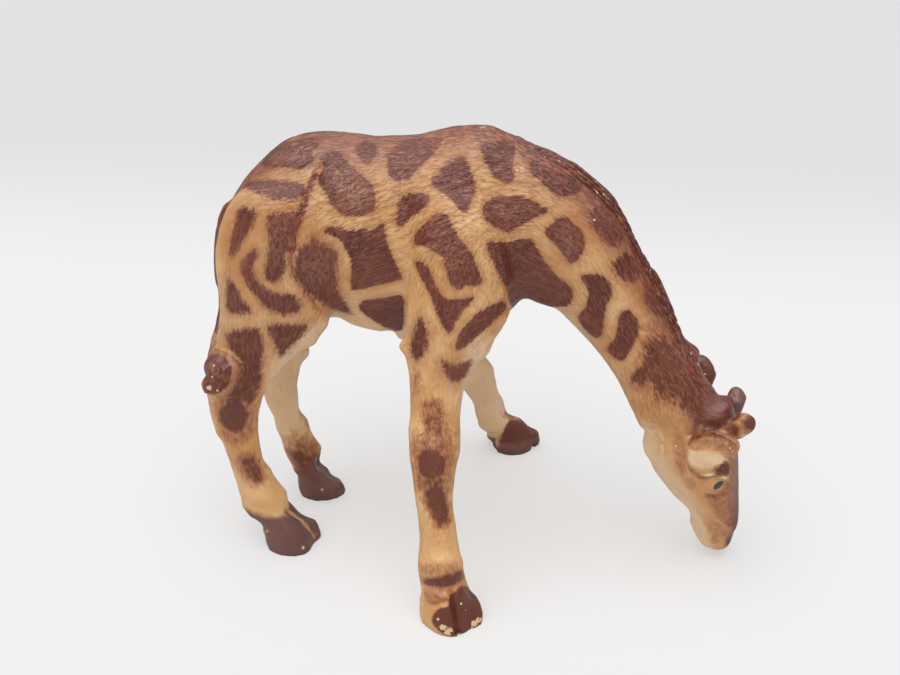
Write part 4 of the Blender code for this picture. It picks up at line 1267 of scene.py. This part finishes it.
def cut(skin, name):
    """One moulding's share of the skin, closed inwards at its rims."""
    cells = skin.cells[WORK["owner"] == skin.names.index(name)]
    used, flat = np.unique(cells, return_inverse=True)
    cells = flat.reshape(-1, 4)
    places = skin.places[used]
    middles = []
    lids = []
    for rim in open_rims(cells):
        members = used[np.unique(rim)]
        middle = skin.places[members].mean(axis=0) - skin.outward[members].mean(axis=0) * LID_DEPTH
        lids += [(end, start, len(places) + len(middles)) for start, end in rim]
        middles.append(middle)
    extra = np.array(middles).reshape(-1, 3)
    mesh = bpy.data.meshes.new(name)
    mesh.from_pydata((np.concatenate((places, extra)) * MM).tolist(), [], [*cells.tolist(), *lids])
    mesh.update()
    for key, values in skin.paint.items():
        flat = values.ndim == 1
        layer = mesh.attributes.new(key, "FLOAT" if flat else "FLOAT_VECTOR", "POINT")
        rest = np.zeros((len(extra), *values.shape[1:]))
        layer.data.foreach_set("value" if flat else "vector", np.concatenate((values[used], rest)).ravel())
    mesh.shade_smooth()
    normals = np.concatenate((skin.outward[used], np.tile((0.0, 0.0, 1.0), (len(extra), 1))))
    mesh.normals_split_custom_set_from_vertices(normals.tolist())
    piece = bpy.data.objects.new("painted_" + name, mesh)
    bpy.context.scene.collection.objects.link(piece)
    return piece


def open_rims(cells):
    """Sides that only one cell has, grouped into the rims that they form."""
    known = {tuple(edge) for edge in edge_pairs(cells).tolist()}
    single = sorted(edge for edge in known if edge[::-1] not in known)
    group = {}

    def root(vertex):
        while group.setdefault(vertex, vertex) != vertex:
            vertex = group[vertex]
        return vertex

    for start, end in single:
        group[root(start)] = root(end)
    rims = {}
    for edge in single:
        rims.setdefault(root(edge[0]), []).append(edge)
    return list(rims.values())


def owners(skin):
    """Which moulding each cell of the skin belongs to, in one region for each moulding."""
    owner = skin.near[skin.cells].mean(axis=1).argmin(axis=1)
    key = np.sort(edge_pairs(skin.cells), axis=1)
    cell_of = np.tile(np.arange(len(skin.cells)), 4)
    pairs = cell_of[np.lexsort((key[:, 1], key[:, 0]))].reshape(-1, 2)
    both = ((pairs[:, 0], pairs[:, 1]), (pairs[:, 1], pairs[:, 0]))
    for _ in range(EDGE_PASSES):
        votes = np.zeros((len(owner), len(skin.names)))
        for one, other in both:
            np.add.at(votes, (one, owner[other]), 1)
        votes[np.arange(len(owner)), owner] += OWN_VOTE
        owner = votes.argmax(axis=1)
    for _ in range(STRAY_PASSES):
        label = islands(len(owner), pairs[owner[pairs[:, 0]] == owner[pairs[:, 1]]])
        size = np.bincount(label, minlength=len(owner))
        largest = np.zeros(len(skin.names), dtype=int)
        np.maximum.at(largest, owner, size[label])
        stray = size[label] < largest[owner]
        if not stray.any():
            return owner
        votes = np.zeros((len(owner), len(skin.names)))
        for one, other in both:
            use = stray[one] & (owner[one] != owner[other])
            np.add.at(votes, (label[one[use]], owner[other[use]]), 1)
        owner = np.where(stray, votes[label].argmax(axis=1), owner)
    return owner


# Materials

def new_material(name):
    """A material with an empty node tree."""
    material = bpy.data.materials.new(name)
    material.use_nodes = True
    material.node_tree.nodes.clear()
    return material, material.node_tree


def add_node(tree, kind, inputs=None, **settings):
    """Adds a node, sets its options, and fills its inputs with values or links."""
    node = tree.nodes.new(kind)
    for key, value in settings.items():
        setattr(node, key, value)
    for socket, source in (inputs or {}).items():
        if isinstance(source, bpy.types.NodeSocket):
            tree.links.new(source, node.inputs[socket])
        else:
            node.inputs[socket].default_value = source
    return node


def painted_pvc(name, colours):
    """Soft PVC, moulded tan and then sprayed and brushed: satin and a little uneven, each colour with a soft edge.

    Fine moulded hair runs along the lay of the coat. Its grooves are darker and its locks lighter: partly paint that
    lies thick in the grooves and thin on the locks, partly painted shade in the grooves and painted highlight on the
    locks.
    """
    material = bpy.data.materials.get(name)
    if material:
        return material
    material, tree = new_material(name)
    place = add_node(tree, "ShaderNodeTexCoord").outputs["Object"]
    value = {"lock": hair_locks(tree, place, colours)}
    for key in ("patch", "thin", "brown", "rust", "warm", "cream", "hoof", "chip", "hair"):
        value[key] = add_node(tree, "ShaderNodeAttribute", attribute_name=key).outputs["Fac"]
    for key, (size, detail) in GRAINS.items():
        value[key] = add_node(tree, "ShaderNodeTexNoise", {"Vector": place, "Scale": 1 / (size * MM),
                                                           "Detail": detail}).outputs[0]
    for key, kind, *given in PAINT_STEPS:
        sources = [value.get(source, source) for source in given]
        if kind == "FADE":
            ends = dict(zip(("Value", "From Min", "From Max", "To Max"), sources))
            value[key] = add_node(tree, "ShaderNodeMapRange", ends, interpolation_type="SMOOTHSTEP").outputs[0]
        else:
            value[key] = add_node(tree, "ShaderNodeMath", dict(enumerate(sources)), operation=kind).outputs[0]
    tints = {key: (*getattr(colours, key), 1.0)
             for key in ("tan", "gold", "cream", "halo", "patch", "patch_light", "thin", "brown", "brown_light",
                         "rust", "hoof", "chip")}
    for key, share, under, over in COATS:
        tints[key] = add_node(tree, "ShaderNodeMix", {0: value[share], 6: tints[under], 7: tints[over]},
                              data_type="RGBA").outputs[2]
    rough = add_node(tree, "ShaderNodeMapRange", {"Value": value["speck"], "To Min": 0.34, "To Max": 0.48})
    bump = add_node(tree, "ShaderNodeBump", {"Height": value["relief"], "Strength": 1.0,
                                             "Distance": colours.hair_depth})
    shader = add_node(tree, "ShaderNodeBsdfPrincipled", {"Base Color": tints["coat"], "Roughness": rough.outputs[0],
                                                         "IOR": 1.48, "Coat Weight": 0.4, "Coat Roughness": 0.24,
                                                         "Normal": bump.outputs[0]})
    add_node(tree, "ShaderNodeOutputMaterial", {"Surface": shader.outputs[0]})
    return material


def hair_locks(tree, place, colours):
    """Moulded hair: strands of noise drawn out in a few fixed directions, each where the lay runs near it."""
    lay = add_node(tree, "ShaderNodeAttribute", attribute_name="lay").outputs["Vector"]
    cells = (colours.hair_length / 2, colours.hair_pitch / 2, colours.hair_pitch / 2)
    locks, shares = 0.0, 0.0001
    for turn in range(LAY_TURNS):
        angle = math.pi * turn / LAY_TURNS
        turned = add_node(tree, "ShaderNodeMapping", {"Vector": place, "Rotation": (0, -angle, 0), "Scale": cells},
                          vector_type="TEXTURE").outputs[0]
        strands = add_node(tree, "ShaderNodeTexNoise", {"Vector": turned, "Scale": 1.0, "Detail": 1.0,
                                                        "Distortion": 0.5}).outputs[0]
        along = add_node(tree, "ShaderNodeVectorMath", {0: lay, 1: (math.cos(angle), 0, math.sin(angle))},
                         operation="DOT_PRODUCT").outputs["Value"]
        near = add_node(tree, "ShaderNodeMath", {0: along}, operation="ABSOLUTE").outputs[0]
        share = add_node(tree, "ShaderNodeMath", {0: near, 1: LAY_FOCUS}, operation="POWER").outputs[0]
        locks = add_node(tree, "ShaderNodeMath", {0: strands, 1: share, 2: locks},
                         operation="MULTIPLY_ADD").outputs[0]
        shares = add_node(tree, "ShaderNodeMath", {0: share, 1: shares}, operation="ADD").outputs[0]
    mean = add_node(tree, "ShaderNodeMath", {0: locks, 1: shares}, operation="DIVIDE").outputs[0]
    return add_node(tree, "ShaderNodeMapRange", {"Value": mean, "From Min": LOCK_LEVELS[0],
                                                 "From Max": LOCK_LEVELS[1]},
                    interpolation_type="SMOOTHSTEP").outputs[0]


def mane_paint(name, colours):
    """Brushed brown on the mane: dark brown, worn in places to a lighter reddish brown, with a few bare flecks."""
    material, tree = new_material(name)
    place = add_node(tree, "ShaderNodeTexCoord").outputs["Object"]
    worn, bare = [add_node(tree, "ShaderNodeTexNoise", {"Vector": place, "Scale": 1 / (size * MM),
                                                        "Detail": detail}).outputs[0]
                  for size, detail in (MANE_WEAR, MANE_FLECKS)]
    share = add_node(tree, "ShaderNodeMapRange", {"Value": worn, "From Min": 0.42, "From Max": 0.85},
                     interpolation_type="SMOOTHSTEP").outputs[0]
    shade = add_node(tree, "ShaderNodeMix", {0: share, 6: (*colours.brown, 1), 7: (*colours.brown_light, 1)},
                     data_type="RGBA").outputs[2]
    chipped = add_node(tree, "ShaderNodeMapRange", {"Value": bare, "From Min": 0.68, "From Max": 0.70}).outputs[0]
    shade = add_node(tree, "ShaderNodeMix", {0: chipped, 6: shade, 7: (*colours.chip, 1)},
                     data_type="RGBA").outputs[2]
    bump = add_node(tree, "ShaderNodeBump", {"Height": worn, "Strength": 0.6, "Distance": 0.2 * MM})
    shader = add_node(tree, "ShaderNodeBsdfPrincipled", {"Base Color": shade, "Roughness": 0.4, "IOR": 1.5,
                                                         "Coat Weight": 0.3, "Coat Roughness": 0.28,
                                                         "Normal": bump.outputs[0]})
    add_node(tree, "ShaderNodeOutputMaterial", {"Surface": shader.outputs[0]})
    return material


def lock_tree(material):
    """Node tree that sets one small lock after another along each row."""
    tree = bpy.data.node_groups.new("mane_locks", "GeometryNodeTree")
    face = tree.interface
    face.new_socket("Geometry", in_out="OUTPUT", socket_type="NodeSocketGeometry")
    face.new_socket("Rows", in_out="INPUT", socket_type="NodeSocketGeometry")
    for name, kind in (("Spacing", "Float"), ("Length", "Float"), ("Width", "Float"), ("Sway", "Float"),
                       ("Seed", "Int")):
        face.new_socket(name, in_out="INPUT", socket_type="NodeSocket" + kind)
    given = tree.nodes.new("NodeGroupInput").outputs
    rows = add_node(tree, "GeometryNodeMeshToCurve", {"Mesh": given["Rows"]}).outputs["Curve"]
    spots = add_node(tree, "GeometryNodeCurveToPoints", {"Curve": rows, "Length": given["Spacing"]}, mode="LENGTH")
    ball = add_node(tree, "GeometryNodeMeshUVSphere", {"Segments": 8, "Rings": 6, "Radius": 0.5}).outputs["Mesh"]
    size = add_node(tree, "ShaderNodeCombineXYZ", {0: given["Width"], 1: given["Width"], 2: given["Length"]})
    lock = add_node(tree, "GeometryNodeTransform", {"Geometry": ball, "Scale": size.outputs[0]}).outputs[0]
    less = add_node(tree, "ShaderNodeMath", {0: given["Sway"], 1: -1.0}, operation="MULTIPLY").outputs[0]
    turn = add_node(tree, "FunctionNodeRandomValue", {0: less, 1: given["Sway"], "Seed": given["Seed"]},
                    data_type="FLOAT_VECTOR").outputs[0]
    turned = add_node(tree, "FunctionNodeRotateRotation", {0: spots.outputs["Rotation"], 1: turn},
                      rotation_space="LOCAL").outputs[0]
    grown = add_node(tree, "FunctionNodeRandomValue", {2: 0.7, 3: 1.25, "Seed": given["Seed"]},
                     data_type="FLOAT").outputs[1]
    placed = add_node(tree, "GeometryNodeInstanceOnPoints", {"Points": spots.outputs["Points"], "Instance": lock,
                                                             "Rotation": turned, "Scale": grown}).outputs[0]
    real = add_node(tree, "GeometryNodeRealizeInstances", {0: placed}).outputs[0]
    smooth = add_node(tree, "GeometryNodeSetShadeSmooth", {0: real}).outputs[0]
    painted = add_node(tree, "GeometryNodeSetMaterial", {"Geometry": smooth, "Material": material}).outputs[0]
    add_node(tree, "NodeGroupOutput", {0: painted})
    return tree


def eye_enamel(name, settings, pupil_middle):
    """Brushed enamel paint on the ball of the eye: a glossy dark pupil with a crisp rim on pale orange."""
    material, tree = new_material(name)
    place = add_node(tree, "ShaderNodeTexCoord").outputs["Object"]
    gap = add_node(tree, "ShaderNodeVectorMath", {0: place, 1: pupil_middle}, operation="DISTANCE").outputs["Value"]
    grime = add_node(tree, "ShaderNodeTexNoise", {"Vector": place, "Scale": 1 / (EYE_GRIME * MM)}).outputs[0]
    white = add_node(tree, "ShaderNodeMix", {0: grime, 6: (*settings.white, 1), 7: (*settings.grime, 1)},
                     data_type="RGBA").outputs[2]
    inside = add_node(tree, "ShaderNodeMapRange", {"Value": gap, "From Min": settings.pupil * 1.06,
                                                   "From Max": settings.pupil * 0.94},
                      interpolation_type="SMOOTHSTEP").outputs[0]
    shade = add_node(tree, "ShaderNodeMix", {0: inside, 6: white, 7: (*settings.dark, 1)},
                     data_type="RGBA").outputs[2]
    shader = add_node(tree, "ShaderNodeBsdfPrincipled", {"Base Color": shade, "Roughness": 0.22, "IOR": 1.5})
    add_node(tree, "ShaderNodeOutputMaterial", {"Surface": shader.outputs[0]})
    return material


def finish_moulding(context, name):
    """Cuts out one moulding, paints it and puts it in the place of its solid."""
    piece = cut(hide(context), name)
    piece.data.materials.append(painted_pvc("painted_pvc", context.scene.calf_paint))
    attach(piece, "root")
    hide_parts(name)


class CALF_OT_torso(bpy.types.Operator):
    """Sculpts and paints the torso"""
    bl_idname = "calf.torso"
    bl_label = "Torso"

    def execute(self, context):
        finish_moulding(context, "torso")
        return {"FINISHED"}


class CALF_OT_neck(bpy.types.Operator):
    """Sculpts and paints the neck"""
    bl_idname = "calf.neck"
    bl_label = "Neck"

    def execute(self, context):
        finish_moulding(context, "neck")
        return {"FINISHED"}


class CALF_OT_mane(bpy.types.Operator):
    """Sets the short moulded mane along the crest of the neck"""
    bl_idname = "calf.mane"
    bl_label = "Mane"

    def execute(self, context):
        skin = hide(context)
        settings = context.scene.calf_mane
        line = skin.middle
        steps = np.concatenate(([0], np.cumsum(np.linalg.norm(line[1:] - line[:-1], axis=1))))
        first, last = [nearest_on(line, at_depth(point, 0)[None])[0][0] for point in MANE_ENDS]
        places = np.linspace(first, last, ROW_POINTS)
        middles = np.stack([np.interp(places, steps, line[:, axis]) for axis in range(3)], axis=1)
        ahead = nearest_on(line, middles)[3]
        rows = []
        for turn in (-settings.side, 0, settings.side):
            row = []
            for middle, way, rise in zip(middles, ahead, upright(ahead)):
                aim = rise * math.cos(turn) + np.cross(way, rise) * math.sin(turn)
                spot, facing = self.last_hit(skin.tree, Vector(middle), Vector(aim))
                to_end = min(len(row) + 1, len(middles) - len(row)) / len(middles)
                row.append(spot * MM - facing * settings.sunk * max(0.0, 1 - to_end / END_SHARE))
            rows.append(row)
        count = len(middles)
        edges = [(start + step, start + step + 1) for start in (0, count, 2 * count) for step in range(count - 1)]
        mesh = bpy.data.meshes.new("mane_rows")
        mesh.from_pydata([spot for row in rows for spot in row], edges, [])
        guide = bpy.data.objects.new("mane_rows", mesh)
        context.scene.collection.objects.link(guide)
        tree = lock_tree(mane_paint("mane_paint", context.scene.calf_paint))
        modifier = guide.modifiers.new("locks", "NODES")
        modifier.node_group = tree
        values = {"Spacing": settings.spacing, "Length": settings.length, "Width": settings.width,
                  "Sway": settings.sway, "Seed": settings.seed}
        for item in tree.interface.items_tree:
            if item.in_out == "INPUT" and item.name in values:
                modifier[item.identifier] = values[item.name]
        made = bpy.data.meshes.new_from_object(guide.evaluated_get(context.evaluated_depsgraph_get()))
        bpy.data.objects.remove(guide)
        if not made.polygons:
            raise RuntimeError("the mane has no locks")
        piece = bpy.data.objects.new("painted_mane", made)
        context.scene.collection.objects.link(piece)
        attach(piece, "root")
        return {"FINISHED"}

    def last_hit(self, tree, start, aim):
        """Where a line from inside the skin leaves it."""
        hit = tree.ray_cast(start, aim)
        if hit[0] is None:
            raise RuntimeError("the crest was missed")
        while True:
            following = tree.ray_cast(hit[0] + aim * 0.05, aim, 6.0)
            if following[0] is None:
                return hit[0], hit[1]
            hit = following


class CALF_OT_head(bpy.types.Operator):
    """Sculpts and paints the head"""
    bl_idname = "calf.head"
    bl_label = "Head"

    def execute(self, context):
        finish_moulding(context, "head")
        return {"FINISHED"}


class CALF_OT_ears(bpy.types.Operator):
    """Sculpts and paints both ears"""
    bl_idname = "calf.ears"
    bl_label = "Ears"

    def execute(self, context):
        finish_moulding(context, "ear_right")
        finish_moulding(context, "ear_left")
        return {"FINISHED"}


class CALF_OT_horns(bpy.types.Operator):
    """Sculpts and paints both horns"""
    bl_idname = "calf.horns"
    bl_label = "Horns"

    def execute(self, context):
        finish_moulding(context, "horn_right")
        finish_moulding(context, "horn_left")
        return {"FINISHED"}


class CALF_OT_legs(bpy.types.Operator):
    """Sculpts and paints the four legs"""
    bl_idname = "calf.legs"
    bl_label = "Legs"

    def execute(self, context):
        for name in MOULDINGS:
            if "leg" in name:
                finish_moulding(context, name)
        return {"FINISHED"}


class CALF_OT_tail(bpy.types.Operator):
    """Sculpts and paints the tail"""
    bl_idname = "calf.tail"
    bl_label = "Tail"

    def execute(self, context):
        finish_moulding(context, "tail")
        return {"FINISHED"}


class CALF_OT_eyes(bpy.types.Operator):
    """Sets both painted eyes in their sockets"""
    bl_idname = "calf.eyes"
    bl_label = "Eyes"

    def execute(self, context):
        skin = hide(context)
        settings = context.scene.calf_eyes
        spots, facing = skin.anchors((EYE_MIDDLE, PUPIL_MIDDLE))
        others = skin.other_side("head", spots, facing)
        for name, (places, toward) in (("eye_right", (spots, facing)), ("eye_left", others)):
            middle = Vector(places[0] * MM) - Vector(toward[0]) * settings.sunk
            look = (Vector(places[1] * MM) - middle).normalized()
            shape = bmesh.new()
            bmesh.ops.create_uvsphere(shape, u_segments=48, v_segments=32, radius=settings.radius)
            bmesh.ops.translate(shape, verts=shape.verts, vec=middle)
            mesh = bpy.data.meshes.new(name)
            shape.to_mesh(mesh)
            shape.free()
            mesh.shade_smooth()
            piece = bpy.data.objects.new("painted_" + name, mesh)
            context.scene.collection.objects.link(piece)
            mesh.materials.append(eye_enamel("enamel_" + name, settings, middle + look * settings.radius))
            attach(piece, "root")
        return {"FINISHED"}


class CALF_OT_stage(bpy.types.Operator):
    """Lays the pale floor and sets up the lamps and the camera"""
    bl_idname = "calf.stage"
    bl_label = "Stage"

    def execute(self, context):
        scene = context.scene
        settings = scene.calf_stage
        scene.view_settings.view_transform = "Standard"

        mesh = bpy.data.meshes.new("floor")
        mesh.from_pydata([(x * 3.0, y * 3.0, 0.0) for x, y in ((-1, -1), (1, -1), (1, 1), (-1, 1))], [],
                         [(0, 1, 2, 3)])
        floor = bpy.data.objects.new("floor", mesh)
        scene.collection.objects.link(floor)
        mesh.materials.append(white_paper(settings))

        world = bpy.data.worlds.new("studio")
        world.use_nodes = True
        tree = world.node_tree
        tree.nodes.clear()
        rays = add_node(tree, "ShaderNodeLightPath")
        way = add_node(tree, "ShaderNodeTexCoord").outputs["Generated"]
        height = add_node(tree, "ShaderNodeSeparateXYZ", {0: way}).outputs["Z"]
        sheen = add_node(tree, "ShaderNodeMapRange", {"Value": height, "From Min": 0.1, "From Max": 0.9,
                                                      "To Min": settings.ambient * 0.25,
                                                      "To Max": settings.sheen}).outputs[0]
        strength = add_node(tree, "ShaderNodeMix", {0: rays.outputs["Is Glossy Ray"], 2: settings.ambient, 3: sheen},
                            data_type="FLOAT").outputs[0]
        light = add_node(tree, "ShaderNodeBackground", {"Color": (1, 1, 1, 1), "Strength": strength})
        seen = add_node(tree, "ShaderNodeBackground", {"Color": (*settings.back, 1), "Strength": 1.0})
        clear = add_node(tree, "ShaderNodeMath", {0: rays.outputs["Is Camera Ray"],
                                                  1: rays.outputs["Is Transmission Ray"]}, operation="MAXIMUM")
        mix = add_node(tree, "ShaderNodeMixShader", {0: clear.outputs[0], 1: light.outputs[0],
                                                     2: seen.outputs[0]})
        add_node(tree, "ShaderNodeOutputWorld", {"Surface": mix.outputs[0]})
        scene.world = world

        data = bpy.data.lights.new("lamp_overhead", "SUN")
        data.energy = settings.lamp
        data.angle = math.radians(70)
        lamp = bpy.data.objects.new("lamp_overhead", data)
        lamp.rotation_euler = Vector((0.12, 0.3, -1.0)).to_track_quat("-Z", "Y").to_euler()
        scene.collection.objects.link(lamp)

        data = bpy.data.cameras.new("camera")
        data.lens = LENS
        data.sensor_width = SENSOR
        data.clip_start = 0.01
        camera = bpy.data.objects.new("camera", data)
        camera.location = Vector(CAMERA_PLACE * MM)
        camera.rotation_euler = Vector(CAMERA_AIM - CAMERA_PLACE).to_track_quat("-Z", "Y").to_euler()
        scene.collection.objects.link(camera)
        scene.camera = camera
        return {"FINISHED"}


def white_paper(settings):
    """Matt white paper: a soft even floor that is a little darker where it lies far behind the figure."""
    material, tree = new_material("white_paper")
    place = add_node(tree, "ShaderNodeTexCoord").outputs["Object"]
    depth = add_node(tree, "ShaderNodeSeparateXYZ", {0: place}).outputs["Y"]
    far = add_node(tree, "ShaderNodeMapRange", {"Value": depth, "From Min": 0.10, "From Max": 0.32},
                   interpolation_type="SMOOTHSTEP").outputs[0]
    shade = add_node(tree, "ShaderNodeMix", {0: far, 6: (*settings.floor, 1), 7: (*settings.back, 1)},
                     data_type="RGBA").outputs[2]
    rays = add_node(tree, "ShaderNodeLightPath")
    dimmed = add_node(tree, "ShaderNodeMath", {0: rays.outputs["Is Glossy Ray"], 1: 0.5}, operation="MULTIPLY")
    dull = add_node(tree, "ShaderNodeMix", {0: dimmed.outputs[0], 6: shade, 7: (0, 0, 0, 1)},
                    data_type="RGBA").outputs[2]
    shader = add_node(tree, "ShaderNodeBsdfDiffuse", {"Color": dull})
    even = add_node(tree, "ShaderNodeEmission", {"Color": shade, "Strength": 1.0})
    share = add_node(tree, "ShaderNodeMath", {0: rays.outputs["Is Camera Ray"], 1: settings.even},
                     operation="MULTIPLY").outputs[0]
    mix = add_node(tree, "ShaderNodeMixShader", {0: share, 1: shader.outputs[0], 2: even.outputs[0]})
    add_node(tree, "ShaderNodeOutputMaterial", {"Surface": mix.outputs[0]})
    return material


class CALF_PT_panel(bpy.types.Panel):
    """Steps that dress the figure"""
    bl_idname = "CALF_PT_panel"
    bl_label = "Giraffe calf"
    bl_space_type = "VIEW_3D"
    bl_region_type = "UI"
    bl_category = "Giraffe calf"

    def draw(self, context):
        for operator in OPERATORS:
            self.layout.operator(operator.bl_idname)


OPERATORS = (CALF_OT_torso, CALF_OT_neck, CALF_OT_mane, CALF_OT_head, CALF_OT_ears, CALF_OT_horns, CALF_OT_legs,
             CALF_OT_tail, CALF_OT_eyes, CALF_OT_stage)
GROUPS = {"calf_hide": HideSettings, "calf_mane": ManeSettings, "calf_eyes": EyeSettings,
          "calf_paint": PaintSettings, "calf_stage": StageSettings}


def register():
    for group in GROUPS.values():
        bpy.utils.register_class(group)
    for key, group in GROUPS.items():
        setattr(bpy.types.Scene, key, PointerProperty(type=group))
    for shown in (*OPERATORS, CALF_PT_panel):
        bpy.utils.register_class(shown)


def unregister():
    for shown in (CALF_PT_panel, *OPERATORS):
        bpy.utils.unregister_class(shown)
    for key in GROUPS:
        delattr(bpy.types.Scene, key)
    for group in GROUPS.values():
        bpy.utils.unregister_class(group)


def main():
    register()
    for step in (bpy.ops.calf.torso, bpy.ops.calf.neck, bpy.ops.calf.mane, bpy.ops.calf.head, bpy.ops.calf.ears,
                 bpy.ops.calf.horns, bpy.ops.calf.legs, bpy.ops.calf.tail, bpy.ops.calf.eyes, bpy.ops.calf.stage):
        step()


if __name__ == "__main__":
    main()
